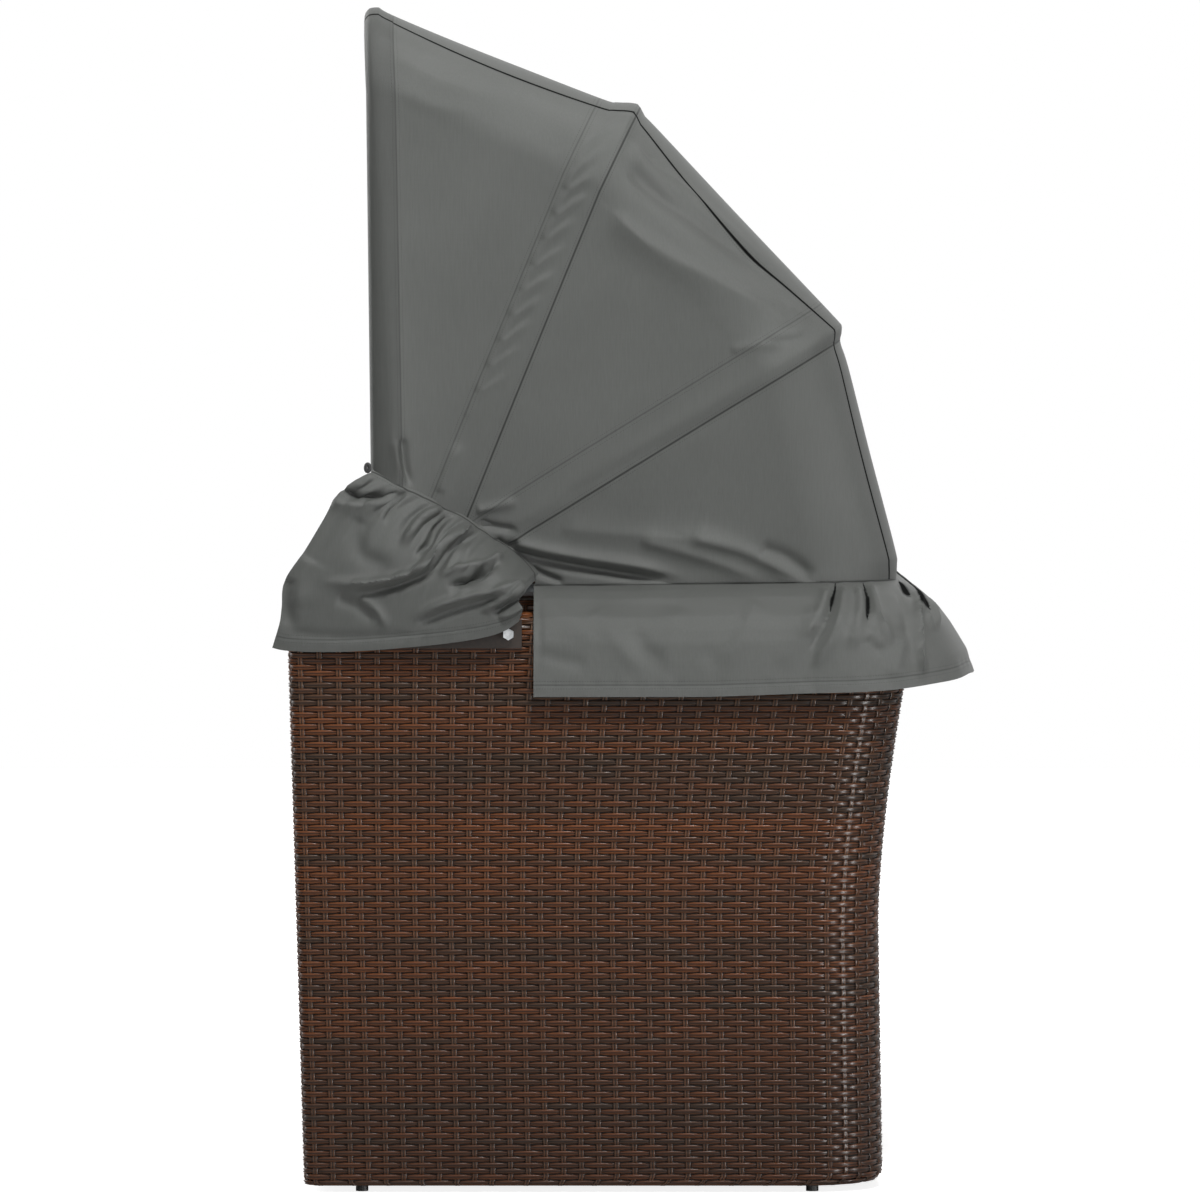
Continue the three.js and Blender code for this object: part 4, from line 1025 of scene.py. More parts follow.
puckers = {
    "first": (584, 152),
    "last": (474, 404),
    "count": 11,
    "path": ((-9, 13), (5, -9), (38, -34)),
    "height": 1.1,
    "swell": 0.6,
    "uneven": 0.3,
    "endUneven": 2,
    "above": 3.0,
    "below": 5.2,
}


def addPuckers(folds):
    # Slanting puckers between the second hoop and its upper seam, none quite like the next.
    for k, share in enumerate(np.linspace(0, 1, puckers["count"])):
        x, y = np.array(puckers["first"]) * (1 - share) + np.array(puckers["last"]) * share
        swell = puckers["swell"] * math.sin(math.pi * (share * 0.9 + 0.1))
        height = puckers["height"] + swell + puckers["uneven"] * math.sin(7.3 * k)
        path = [(x + along, y + down) for along, down in puckers["path"]]
        path[-1] = (path[-1][0], path[-1][1] - puckers["endUneven"] * math.sin(5 * k))
        folds[f"pucker{k}"] = (path, height, puckers["above"], puckers["below"])


addPuckers(canopyFolds)

# For each sleeve: how far its seams lie below and above its hoop, in mm, at the crown and at the leg's foot.
sleeves = {
    "third": {"below": (14, 14), "above": (36, 36), "rows": 17},
    "second": {"below": (5, 30), "above": (44, 20), "rows": 21},
    "front": {"below": (19, 6), "above": (17, 32), "rows": 5},
}
# The front sleeve's section: distances forward and lifts from the tube's middle, in mm. The tip is counted
# back from the sleeve's edge.
frontSleeve = {
    "over": ((2, 13.7), (5, 13.8), (8, 13.6), (11, 12.9)),
    "tip": ((4, 11.2), (1.6, 8.4), (0.4, 5), (0, 1.4), (0.6, -1.8), (2.4, -4), (6, -6)),
    "under": ((12, -8.4), (8, -10.2), (4, -11.2), (0, -11.5)),
    "end": -9 * mm,
    "foldedRows": 11,
    "length": 110 * mm,
}


def seamOffset(sleeve, way):
    # The distance of a sleeve's seam from its hoop, for every column.
    crown, low = sleeves[sleeve][way]
    return (crown + (low - crown) * (1 - legShare)) * mm


def goreGrid(gore, start, end, rows):
    # Rows of cloth from a distance above the lower hoop to a distance below the upper one.
    span = spanOf(gore)
    return [canopyPoint(gore, start + (span - end - start) * r / (rows - 1)) for r in range(rows)]


def bandGrid(gore, below, above, rows):
    # Rows of cloth across the hoop between a gore and the next one.
    grid = []
    for r in range(rows):
        distance = -below + (below + above) * r / (rows - 1)
        before = canopyPoint(gore, spanOf(gore) + np.minimum(distance, 0))
        after = canopyPoint(gore + 1, np.maximum(distance, 0))
        grid.append(np.where((distance < 0)[:, None], before, after))
    return grid


def frontSection(column):
    # The sleeve's section at the front hoop, as pairs of distance forward and lift from the tube's middle.
    edge = seamOffset("front", "above")[column] / mm
    tip = [(edge - back, lift) for back, lift in frontSleeve["tip"]]
    return [*frontSleeve["over"], *tip, *frontSleeve["under"]]


def frontSleeveGrid():
    below = seamOffset("front", "below")
    rows = sleeves["front"]["rows"]
    grid = [canopyPoint(2, spanOf(2) - below * (1 - r / rows)) for r in range(rows + 1)]
    turn = math.radians(hoops[3]["angle"])
    forward = np.array([0, -math.sin(turn), math.cos(turn)])
    low = hoopCurve(3, 0)
    outward = hoopCurve(3, 1 * mm) - low
    outward /= np.linalg.norm(outward, axis=1, keepdims=True)
    sections = np.array([frontSection(c) for c in range(columnCount)]) * mm
    for k in range(sections.shape[1]):
        grid.append(low + forward * sections[:, k, :1] + outward * sections[:, k, 1:])
    grid.append(low - forward * below[:, None] * 0.5 + outward * frontSleeve["end"])
    return np.array(grid)


def innerBand(gore, below, above, rows=9):
    # The strip inside the canopy that closes a sleeve under its tube.
    gap = canopy["liningGap"]
    grid = np.array(bandGrid(gore, below, above, rows))
    under = hoopCurve(gore + 1, -tubeRadius - gap)
    for r in range(rows):
        distance = -below + (below + above) * r / (rows - 1)
        share = np.exp(-(distance / canopy["liningReach"]) ** 2)[:, None]
        inside = towardPivot(grid[r])
        grid[r] = grid[r] * (1 - share) + under * share
        grid[r] += inside * (gap * (1 - share) * topShare[:, None])
        grid[r][:, 0] -= np.sign(grid[r][:, 0]) * gap * (1 - topShare) * (1 - share[:, 0])
    return grid


def goreSeams(gore, grid, strong=(), faint=()):
    # Distances to the piping, to the strongly drawn edges and to the faint ones, for the cloth material.
    rows = len(grid)
    seams = np.ones((rows, columnCount, 3))
    for r in range(rows):
        share = np.linalg.norm(grid[r] - covers[gore], axis=1) / spanOf(gore)
        seams[r, :, 0] = pipingDistance(gore, np.clip(share, 0, 1))
    for slot, edges in ((1, strong), (2, faint)):
        for edge in edges:
            seams[..., slot] = np.minimum(seams[..., slot], np.linalg.norm(grid - grid[edge], axis=2))
    return seams


def travelOf(grid):
    # Distances along and across the cloth, for stitches.
    along = np.zeros(grid.shape[:2])
    along[:, 1:] = np.cumsum(np.linalg.norm(np.diff(grid[-1], axis=0), axis=1))[None]
    across = np.zeros(grid.shape[:2])
    across[1:] = np.cumsum(np.linalg.norm(np.diff(grid, axis=0), axis=2), axis=0)
    return np.stack([along, across, np.zeros_like(along)], -1)


def clothSheet(name, grid, seams, finish="canopy"):
    # A closed sheet with the seam distances that its material draws with.
    piece = clothPiece(name, grid, finish, cloth)
    for attribute, values in (("seams", seams), ("travel", travelOf(grid))):
        layer = piece.data.attributes.new(attribute, "FLOAT_VECTOR", "POINT")
        layer.data.foreach_set("vector", np.concatenate([values.reshape(-1, 3)] * 2).reshape(-1))
    return piece


def bendBetween(piece, rows):
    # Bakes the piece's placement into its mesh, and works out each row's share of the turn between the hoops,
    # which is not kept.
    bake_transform(piece)
    share = np.repeat(np.linspace(0, 1, rows), columnCount)
    share = np.concatenate([share, share]).astype(np.float32)


def makeGore(gore, part, start, end, rows, strong, faint):
    grid = withFolds(np.array(goreGrid(gore, start, end, rows)), canopyFolds)
    piece = clothSheet(f"canopy_{part}_cloth", grid, goreSeams(gore, grid, strong, faint))
    bendBetween(piece, rows)
    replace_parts(piece, f"canopy_{part}_gore")


def makeSleeve(gore, part):
    # The sleeve over the hoop above a gore, and its lining.
    below, above, rows = seamOffset(part, "below"), seamOffset(part, "above"), sleeves[part]["rows"]
    grid = withFolds(np.array(bandGrid(gore, below, above, rows)), canopyFolds)
    seams = goreSeams(gore, grid, (0,), (-1,))
    for r in range(rows):
        distance = -below + (below + above) * r / (rows - 1)
        before = pipingDistance(gore, 1 + distance / spanOf(gore))
        after = pipingDistance(gore + 1, distance / spanOf(gore + 1))
        seams[r, :, 0] = np.where(distance < 0, before, after)
    inner = innerBand(gore, below, above)
    name = f"{part}_hoop_sleeve"
    sleeve = clothSheet(name, grid, seams)
    lining = clothSheet(f"{name}_lining", inner, np.ones(inner.shape))
    for piece, cut in ((sleeve, grid), (lining, inner)):
        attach(piece, hoops[gore + 1]["body"])


def makeFrontSleeve():
    grid = frontSleeveGrid()
    folded = frontSleeve["foldedRows"]
    grid[:folded] = withFolds(grid[:folded], canopyFolds)
    seams = goreSeams(2, grid, (), (0,))
    seams[..., 0] = pipingDistance(2, 1)[None]
    # The front sleeve wears the darker copy of the cloth: painted shade.
    piece = clothSheet("front_hoop_sleeve", grid, seams, "sleeve")
    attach(piece, "front_bow")


def makeCanopy():
    atHoop = np.full(columnCount, 1 * mm)
    makeGore(0, "rear", atHoop, seamOffset("third", "below"), 64, (-1,), ())
    makeGore(1, "middle", seamOffset("third", "above"), seamOffset("second", "below"), 66, (-1,), (0,))
    makeGore(2, "front", seamOffset("second", "above"), seamOffset("front", "below"), 60, (), (0, -1))
    makeSleeve(0, "third")
    makeSleeve(1, "second")
    makeFrontSleeve()


makeCanopy()
print("canopy made")


# Rear valance: a skirt from the rear hoop over both arms and the back

valance = {
    "columns": {"leg": 128, "bend": 72, "bar": 84},
    "denseLeg": ((0, 0), (0.5, 0.74), (0.95, 0.98), (1, 1)),
    "tuck": (4 * mm, 1.3 * mm),
    "rows": 46,
    "top": 1.2 * mm,
    "overlap": 2 * mm,
    "hem": 14 * mm,
    "sideProfile": ((0, 0), (14, 6), (29, 15), (43, 27), (56, 38), (65, 51), (70, 68), (73, 90), (78, 132)),
    "backProfile": ((0, 0), (13, 4), (33, 16), (50, 32), (64, 52), (75, 70), (85, 88), (93, 117)),
    "dropShares": ((-110 * mm, 0.985), (100 * mm, 1.0), (340 * mm, 0.955)),
    "cornerOut": 14 * mm,
    "cornerShare": 0.6,
    "backFrom": 0.7,
    "waveDepth": 7 * mm,
    "waveDrop": 2 * mm,
    "waves": ((0.62, 131 * mm, 0.6), (0.38, 79 * mm, 0.0)),
}

valanceFolds = {
    "pleat1": (((836, 585), (828, 610), (819, 630), (806, 652)), -3.0, 3.2, 3.4),
    "pleat1Ridge": (((844, 586), (839, 614), (828, 640), (806, 668)), 4.0, 4, 8),
    "pleat1Left": (((828, 588), (818, 614), (800, 640)), 3.2, 7, 4),
    "pleat2": (((863, 585), (867, 602), (867, 624)), -3.0, 3, 3),
    "pleat2Pocket": (((866, 636), (874, 646), (884, 652)), -2.4, 5, 5),
    "pleat2Right": (((871, 586), (878, 612), (892, 646)), 4.2, 5, 4),
    "pleat2Left": (((858, 588), (858, 614), (848, 650)), 3.4, 4, 6),
    "corner": (((902, 585), (907, 592), (913, 599)), -3.6, 3, 3.4),
    "cornerRidge": (((911, 583), (918, 592), (920, 602), (927, 618), (937, 634)), 5.0, 2.6, 3.4),
    "cornerFall": (((918, 600), (917, 630), (919, 660), (923, 682)), 7.5, 3.6, 4.4),
    "cornerLeft": (((898, 590), (904, 612), (906, 640)), -2.0, 5, 5),
    "cornerOuter": (((918, 590), (924, 600), (932, 614)), -3.4, 3, 3),
    "cornerEdge": (((930, 598), (935, 608), (938, 620), (937, 632)), 4.0, 2.6, 3.2),
    "sweep1": (((756, 600), (740, 634), (716, 668)), 1.6, 14, 12),
    "sweep1Hollow": (((742, 612), (724, 640), (700, 668)), -1.2, 12, 12),
    "sweep2": (((812, 606), (796, 642), (776, 668)), 1.4, 10, 10),
    "vee1": (((676, 606), (668, 640), (654, 668)), 1.2, 14, 14),
    "vee1Hollow": (((630, 626), (650, 652), (672, 660)), -1.3, 10, 12),
    "vee2": (((596, 606), (618, 642), (646, 674)), 1.3, 12, 12),
    "frontSweep": (((546, 592), (566, 616), (600, 644)), 1.3, 12, 12),
    "frontPatch": (((540, 650), (560, 658), (590, 662)), -1.4, 9, 9),
    "frontEdge": (((539, 600), (540, 630), (538, 676)), -1.2, 3, 3),
    "rearSoft": (((900, 640), (896, 660), (890, 680)), 2.0, 8, 8),
    "wide": (((580, 592), (640, 606), (700, 606)), -1.0, 14, 16),
}

# Painted shadows in the mouths of the pleats: places down each and how wide the shadow is drawn there, in
# picture points.
pleatShadows = {
    "pleat1": ((835.5, 584, 0.7), (835, 590, 1.2), (832, 598, 2.0), (830, 606, 1.4), (829, 613, 0.4)),
    "pleat2": (
        (863.5, 584, 0.6), (865.5, 590, 1.2), (867.5, 598, 1.8), (867, 607, 2.2), (866, 615, 1.3),
        (867, 623, 0.4)),
    "corner": ((901, 584, 0.8), (904.5, 588, 2.2), (907, 593, 3.0), (911, 597, 1.2)),
    "cornerOuter": ((916, 587, 1.0), (920.5, 592, 2.2), (924, 599, 2.9), (929, 607, 2.0), (932, 612, 0.6)),
}


def pleatShadowDistance(grid):
    # Distance to the nearest painted pleat shadow, scaled so that its edge falls on the width that is drawn
    # dark.
    drawnHalf = seamLook["lines"][0][2]
    places = grid[..., 1:3].reshape(-1, 2)
    nearest = np.ones(len(places))
    for mouth in pleatShadows.values():
        line = fromPicture([point[:2] for point in mouth])
        widths = np.array([point[2] for point in mouth]) * pictureScale
        for a, b, wide, narrow in zip(line[:-1], line[1:], widths[:-1], widths[1:]):
            step = b - a
            share = np.clip((places - a) @ step / (step @ step), 0, 1)
            gap = np.linalg.norm(places - a - share[:, None] * step, axis=1)
            nearest = np.minimum(nearest, gap / (wide + (narrow - wide) * share) * drawnHalf)
    return np.where(nearest > 2.4 * drawnHalf, 1, nearest).reshape(grid.shape[:-1])


def valanceRoute():
    # Places round the rear hoop with their outward directions, and how far each is turned rearward.
    counts = valance["columns"]
    shares = np.interp(np.linspace(0, 1, counts["leg"], endpoint=False), *zip(*valance["denseLeg"]))
    start = lowerSeamRadius(0) - valance["overlap"]
    x, along, angle = roundHoop(0, canopy["lift"], counts, lambda end: start + (end - start) * shares)
    return onHoop(x, along, hoops[0]["angle"]), angle


def profileAt(profile, share):
    outs, drops = (np.array(v, float) * mm for v in zip(*profile))
    lengths = np.concatenate([[0], np.cumsum(np.hypot(np.diff(outs), np.diff(drops)))])
    return np.interp(share * lengths[-1], lengths, outs), np.interp(share * lengths[-1], lengths, drops)


def skirtGrid():
    # The skirt's rows from the hoop down, and for every column its outward direction.
    tops, angle = valanceRoute()
    rows = valance["rows"]
    outward = np.stack([np.cos(angle), np.sin(angle), np.zeros(len(angle))], 1)
    rearward = smoothStep(np.sin(angle) ** 2)
    travelled = np.concatenate([[0], np.cumsum(np.linalg.norm(np.diff(tops, axis=0), axis=1))])
    forward = np.interp(tops[:, 1], *zip(*valance["dropShares"]))
    onBack = smoothStep((np.sin(angle) - valance["backFrom"]) / (1 - valance["backFrom"]))
    wave = sum(height * np.sin(2 * math.pi * travelled / length + start)
               for height, length, start in valance["waves"])
    corner = np.sin(2 * np.minimum(angle, math.pi - angle)).clip(0)
    grid = np.zeros((rows, len(tops), 3))
    for r, share in enumerate(np.linspace(0, 1, rows)):
        sideOut, sideDrop = profileAt(valance["sideProfile"], share)
        backOut, backDrop = profileAt(valance["backProfile"], share)
        out = sideOut + (backOut - sideOut) * rearward + valance["waveDepth"] * onBack * share * wave
        out = out + corner * valance["cornerOut"] * smoothStep(share / valance["cornerShare"])
        drop = (sideDrop + (backDrop - sideDrop) * rearward) * forward
        drop = drop + onBack * share * wave * valance["waveDrop"]
        grid[r] = tops + outward * out[:, None]
        grid[r, :, 2] += canopy["seamLift"] - valance["top"] - drop
    return grid, outward


def makeValance():
    grid, outward = skirtGrid()
    grid = withFolds(grid, valanceFolds, least=0.03, fade=0.2, gain=1.5)
    rise, inward = valance["tuck"]
    grid = np.concatenate([grid[:1] + np.array([0, 0, rise]) - inward * outward[None], grid])
    seams = np.ones(grid.shape)
    # The pleats' mouths are drawn dark: painted shadow.
    seams[..., 0] = pleatShadowDistance(grid)
    seams[..., 1] = np.linalg.norm(grid - grid[1:2], axis=2)
    seams[..., 2] = np.linalg.norm(grid - grid[-1:], axis=2) - valance["hem"]
    grid = hemRaised(grid, seams[..., 2])
    piece = clothSheet("rear_valance_cloth", grid, seams)
    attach(piece, "base")
    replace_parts(piece, "rear_valance")


hemLook = {
    "proud": 0.5 * mm,
    "pucker": 0.5 * mm,
    "puckerLengths": (5.3 * mm, 17 * mm),
    "puckerReach": 7 * mm,
    "groove": 0.4 * mm,
    "grooveReach": 2.5 * mm,
}


def hemRaised(grid, fromStitch):
    # The doubled cloth of a hem stands a little proud, with small puckers along its stitches.
    normal = gridNormals(grid)
    facing = np.sign((normal * (grid - np.array(pivot))).sum(-1, keepdims=True))
    normal = normal * np.where(facing < 0, -1, 1)
    travel = travelOf(grid)[..., 0]
    short, long = hemLook["puckerLengths"]
    pucker = np.sin(travel / short) * np.sin(travel / long + 1)
    raised = hemLook["proud"] * (fromStitch < 0)
    raised = raised + hemLook["pucker"] * pucker * np.exp(-(fromStitch / hemLook["puckerReach"]) ** 2)
    raised = raised - hemLook["groove"] * np.exp(-(fromStitch / hemLook["grooveReach"]) ** 2)
    return grid + normal * raised[..., None]


# Front flaps: gathered cloth under the slanting seam, hanging over the arms

flap = {
    "columns": 170,
    "rows": 84,
    "seamDegrees": (104, 3),
    "seamInset": 1 * mm,
    "hem": 15 * mm,
    "hemX": 699 * mm,
    "spreadShare": 0.45,
    "billow": 12 * mm,
    "billowPower": 0.8,
    "billowLoss": 0.5,
    "turnIn": 22 * mm,
    "turnInPower": 1.5,
    "seamLiftDegrees": 31,
    "tuck": (5 * mm, 4.5 * mm),
    "plainRows": 4,
    "gathers": {"count": 15, "height": 1.5 * mm, "reach": 0.13, "drift": 1.7, "driftTurn": 11},
    "length": 190 * mm,
    "foldAxis": (0, -0.76, 0.65),
    "foldAnchor": (0.66, -0.11, 0.70),
    "foldKeep": 0.3,
}
flapFront = ((373, 471), (343, 489), (324, 520), (306, 550), (286, 580), (283, 606), (281, 622), (274, 646))
flapHem = ((274, 646), (290, 649), (330, 650), (375, 648), (440, 642), (480, 636), (504, 629), (519, 619))
flapRear = ((535, 583), (527, 590), (520, 600), (523, 607), (519, 619))

flapFolds = {
    "tuck1": (((344, 487), (360, 495), (380, 494), (404, 490)), -3.4, 3, 3.6),
    "tuck1Ridge": (((334, 500), (356, 504), (378, 502), (398, 498)), 2.2, 4, 9),
    "tuck1Top": (((372, 474), (364, 482), (354, 486)), 1.6, 4, 4),
    "tuck2": (((407, 490), (398, 500), (389, 514), (385, 524)), -1.7, 3.2, 3.8),
    "ridge3": (((444, 505), (424, 516), (412, 530), (402, 546)), 3.4, 3.4, 5),
    "hollow3": (((450, 511), (438, 526), (430, 542), (414, 556)), -3.0, 4, 4.5),
    "bowl": (((364, 516), (358, 536), (368, 556), (398, 564)), -1.5, 10, 12),
    "swag": (
        ((476, 525), (455, 535), (440, 549), (421, 566), (391, 577), (351, 581), (318, 579)), 4.6, 4.5, 8),
    "swagHollow": (((474, 533), (451, 546), (437, 564), (413, 577), (382, 587), (350, 592)), -3.6, 4.5, 7),
    "ridge5": (((504, 552), (484, 563), (462, 566), (438, 574)), 3.0, 4, 4),
    "hollow5": (((500, 560), (484, 569), (466, 580), (446, 586)), -4.4, 5, 5),
    "pocket5": (((490, 566), (474, 578), (462, 586)), -2.4, 5, 5),
    "long": (((536, 577), (502, 587), (468, 594), (436, 604), (408, 620)), 3.4, 4.5, 7),
    "longHollow": (((500, 594), (468, 603), (438, 614), (412, 630)), -1.8, 6, 7),
    "lowCrease": (((338, 596), (362, 604), (378, 622)), -1.3, 7, 9),
    "lowRidge": (((362, 596), (380, 610), (388, 628)), 1.8, 5, 5),
    "rearRidge": (((524, 587), (504, 597), (487, 606), (482, 613)), 2.6, 4, 4.5),
    "rearHollow": (((526, 594), (506, 604), (492, 614)), -2.4, 4, 4),
    "curl": (((524, 604), (512, 611), (498, 616)), 2.2, 3.5, 4),
    "leftFall": (((292, 576), (288, 604), (296, 630)), -1.8, 8, 10),
    "leftSheen": (((312, 556), (300, 580), (302, 610)), 1.6, 14, 14),
    "hemRise": (((290, 630), (330, 634), (380, 634), (440, 630)), -0.9, 6, 6),
}


def resampled(path, count):
    # Even steps along a smooth line through picture places, as Y and Z.
    line = fromPicture(curved(path))
    stops = np.concatenate([[0], np.cumsum(np.linalg.norm(np.diff(line, axis=0), axis=1))])
    places = np.linspace(0, stops[-1], count)
    return np.stack([np.interp(places, stops, line[:, k]) for k in range(2)], 1)


def flapGrid():
    # Rows of the flap from its seam to its hem, and the edge that passes up behind the canopy.
    columns, rows = flap["columns"], flap["rows"]
    degrees = np.linspace(*flap["seamDegrees"], columns)
    radius = lowerSeamRadius(degrees) - flap["seamInset"]
    turn = np.radians(degrees)
    top = np.stack([pivot.y + radius * np.cos(turn), pivot.z + radius * np.sin(turn)], 1)
    angles = [hoop["angle"] for hoop in hoops]
    topX = np.interp(degrees, angles, [hoop["leg"] + canopy["lift"] for hoop in hoops])
    top[:, 1] += canopy["seamLift"] * np.clip(1 - degrees / flap["seamLiftDegrees"], 0, 1)
    hem = resampled(flapHem, columns)
    front = resampled(flapFront, rows)
    rear = resampled(flapRear, rows)
    u = np.linspace(0, 1, columns)[None, :]
    v = np.linspace(0, 1, rows)[:, None]
    across, down = u[..., None], v[..., None]
    side = (1 - across) * front[:, None] + across * rear[:, None]
    ends = (1 - down) * top[None] + down * hem[None]
    corners = ((1 - across) * (1 - down) * front[0] + across * (1 - down) * rear[0]
               + (1 - across) * down * front[-1] + across * down * rear[-1])
    spread = np.sin(math.pi / 2 * np.minimum(1, v / flap["spreadShare"]))
    billow = flap["billow"] * np.sin(math.pi * v ** flap["billowPower"]) * (1 - flap["billowLoss"] * u)
    hemX = flap["hemX"] - flap["turnIn"] * (1 - u) ** flap["turnInPower"]
    gathers = flap["gathers"]
    drift = gathers["drift"] * np.sin(gathers["driftTurn"] * u)
    ripple = np.sin(2 * math.pi * gathers["count"] * u + drift)
    below = v / gathers["reach"]
    x = topX[None] + (hemX - topX[None]) * spread + billow
    x = x + gathers["height"] * ripple * below * np.exp(1 - below)
    rise, inward = flap["tuck"]
    behind = np.stack([topX - inward, top[:, 0] + rise * np.cos(turn), top[:, 1] + rise * np.sin(turn)], 1)
    return np.concatenate([x[..., None], side + ends - corners], 2), behind[None]


def makeFlaps():
    plain, behind = flapGrid()
    grid = withFolds(plain, flapFolds, least=0.2, fade=0.3, gain=2.5)
    grown = np.clip(np.arange(len(grid)) / flap["plainRows"], 0, 1)[:, None, None]
    grid = np.concatenate([behind, plain + (grid - plain) * grown])
    seams = np.ones(grid.shape)
    seams[..., 1] = np.linalg.norm(grid - grid[1:2], axis=2)
    seams[..., 2] = np.linalg.norm(grid - grid[-1:], axis=2) - flap["hem"]
    grid = hemRaised(grid, seams[..., 2])
    for side, sign in (("right", 1), ("left", -1)):
        placed = grid * np.array([sign, 1, 1])
        piece = clothSheet(f"{side}_flap_cloth", placed, seams)
        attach(piece, "base")
        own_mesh(piece)
        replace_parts(piece, f"{side}_front_flap")


tieLoop = {
    "place": (369, 467),
    "halfWidth": 2.4 * mm,
    "halfHeight": 4.4 * mm,
    "thickness": 2.3 * mm,
    "steps": 16,
    "gap": 1 * mm,
}


def makeTabs():
    # Small webbing loops that tie the flaps to the front hoop.
    middle = fromPicture([tieLoop["place"]])[0]
    turn = np.linspace(0, 2 * math.pi, tieLoop["steps"], endpoint=False)
    y = middle[0] + tieLoop["halfWidth"] * np.cos(turn)
    z = middle[1] + tieLoop["halfHeight"] * np.sin(turn)
    for side, sign in (("right", 1), ("left", -1)):
        x = sign * (hoops[3]["leg"] + canopy["lift"] + tieLoop["gap"])
        path = np.stack([np.full(len(turn), x), y, z], 1)
        piece = ringPiece(f"{side}_tie_loop", path, tieLoop["thickness"], "webbing")
        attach(piece, "front_bow")
        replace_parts(piece, f"{side}_front_tab")


makeValance()
makeFlaps()
makeTabs()
print("valance and flaps made")


# Cushions: sewn covers blown up by a short cloth simulation, then piped along their seams

cushion = {
    "slack": 9 * mm,
    "edgeRound": 12 * mm,
    "voxel": 7.5 * mm,
    "cloth": {
        "quality": 5, "mass": 0.35, "tension_stiffness": 18, "compression_stiffness": 12,
        "shear_stiffness": 6, "bending_stiffness": 0.6, "use_pressure": True, "uniform_pressure_force": 4.0,
    },
    "frames": 20,
    "reach": 24 * mm,
    "quickCrown": 14 * mm,
    "piping": 3.2 * mm,
    "seamInset": 11 * mm,
    "seamCorner": 16 * mm,
    "seamSteps": 30,
    "pinch": 2.2 * mm,
    "pinchReach": 7 * mm,
    "fill": 0.8,
    "backThickness": 130 * mm,
    "backHeight": 285 * mm,
}


def coverBlock(name, size):
    # The cut cover before it is filled: a closed block with rounded edges, even in its mesh.
    shape = bmesh.new()
    bmesh.ops.create_cube(shape, size=1)
    bmesh.ops.scale(shape, vec=size, verts=shape.verts)
    bmesh.ops.bevel(
        shape, geom=shape.edges[:], offset=cushion["edgeRound"], segments=3, profile=0.6, affect="EDGES")
    mesh = bpy.data.meshes.new(name)
    shape.to_mesh(mesh)
    shape.free()
    block = newObject(name, mesh)
    remesh = block.modifiers.new("even", "REMESH")
    remesh.mode = "VOXEL"
    remesh.voxel_size = cushion["voxel"]
    return applied(block)


def filled(block):
    # Blows the cover up without gravity and keeps every point within reach of where it was cut.
    start = pointsOf(block.data)
    modifier = block.modifiers.new("filling", "CLOTH")
    for name, value in cushion["cloth"].items():
        setattr(modifier.settings, name, value)
    modifier.settings.effector_weights.gravity = 0
    modifier.point_cache.frame_end = cushion["frames"]
    for frameNumber in range(1, cushion["frames"] + 1):
        bpy.context.scene.frame_set(frameNumber)
    applied(block)
    bpy.context.scene.frame_set(1)
    moved = pointsOf(block.data) - start
    length = np.linalg.norm(moved, axis=1, keepdims=True)
    return start + moved * np.minimum(1, cushion["reach"] / np.maximum(length, 1e-9))


def seamRing(size, level):
    # Where a panel seam runs on the cut block: a rounded rectangle at one level.
    radius, steps = cushion["seamCorner"], cushion["seamSteps"]
    corners = [(sx * (size[0] / 2 - radius), sy * (size[1] / 2 - radius), begin)
               for sx, sy, begin in ((1, 1, 0), (-1, 1, 90), (-1, -1, 180), (1, -1, 270))]
    ring = []
    for (x, y, begin), (nextX, nextY, _) in zip(corners, corners[1:] + corners[:1]):
        for turn in np.radians(np.arange(begin, begin + 91, 15)):
            ring.append((x + radius * math.cos(turn), y + radius * math.sin(turn), level))
        after = math.radians(begin + 90)
        leave = np.array(ring[-1])
        arrive = np.array((nextX + radius * math.cos(after), nextY + radius * math.sin(after), level))
        ring.extend(tuple(leave + (arrive - leave) * k / steps) for k in range(1, steps))
    return np.array(ring)


def seamLine(start, end, ring):
    # Where a seam of the cut block ended up on the filled one, evened out a little.
    nearest = [int(np.argmin(((start - spot) ** 2).sum(1))) for spot in ring]
    line = end[nearest]
    for _ in range(3):
        line = (np.roll(line, 1, 0) + 2 * line + np.roll(line, -1, 0)) / 4
    return line


def pinched(end, line):
    # The cover drawn in along a seam.
    gap = np.full(len(end), farAway)
    for spot in line[::2]:
        gap = np.minimum(gap, ((end - spot) ** 2).sum(1))
    inward = end.mean(0) - end
    inward /= np.linalg.norm(inward, axis=1, keepdims=True)
    depth = cushion["pinch"] * np.exp(-(np.sqrt(gap) / cushion["pinchReach"]) ** 2)
    return end + inward * depth[:, None]


def mirrored(piece):
    # The left side's copy of a right side's piece.
    other = bpy.data.objects.new(piece.name.replace("right", "left"), piece.data.copy())
    bpy.context.scene.collection.objects.link(other)
    points = pointsOf(other.data) * np.array([-1, 1, 1])
    other.data.vertices.foreach_set("co", points.reshape(-1))
    other.data.flip_normals()
    return other


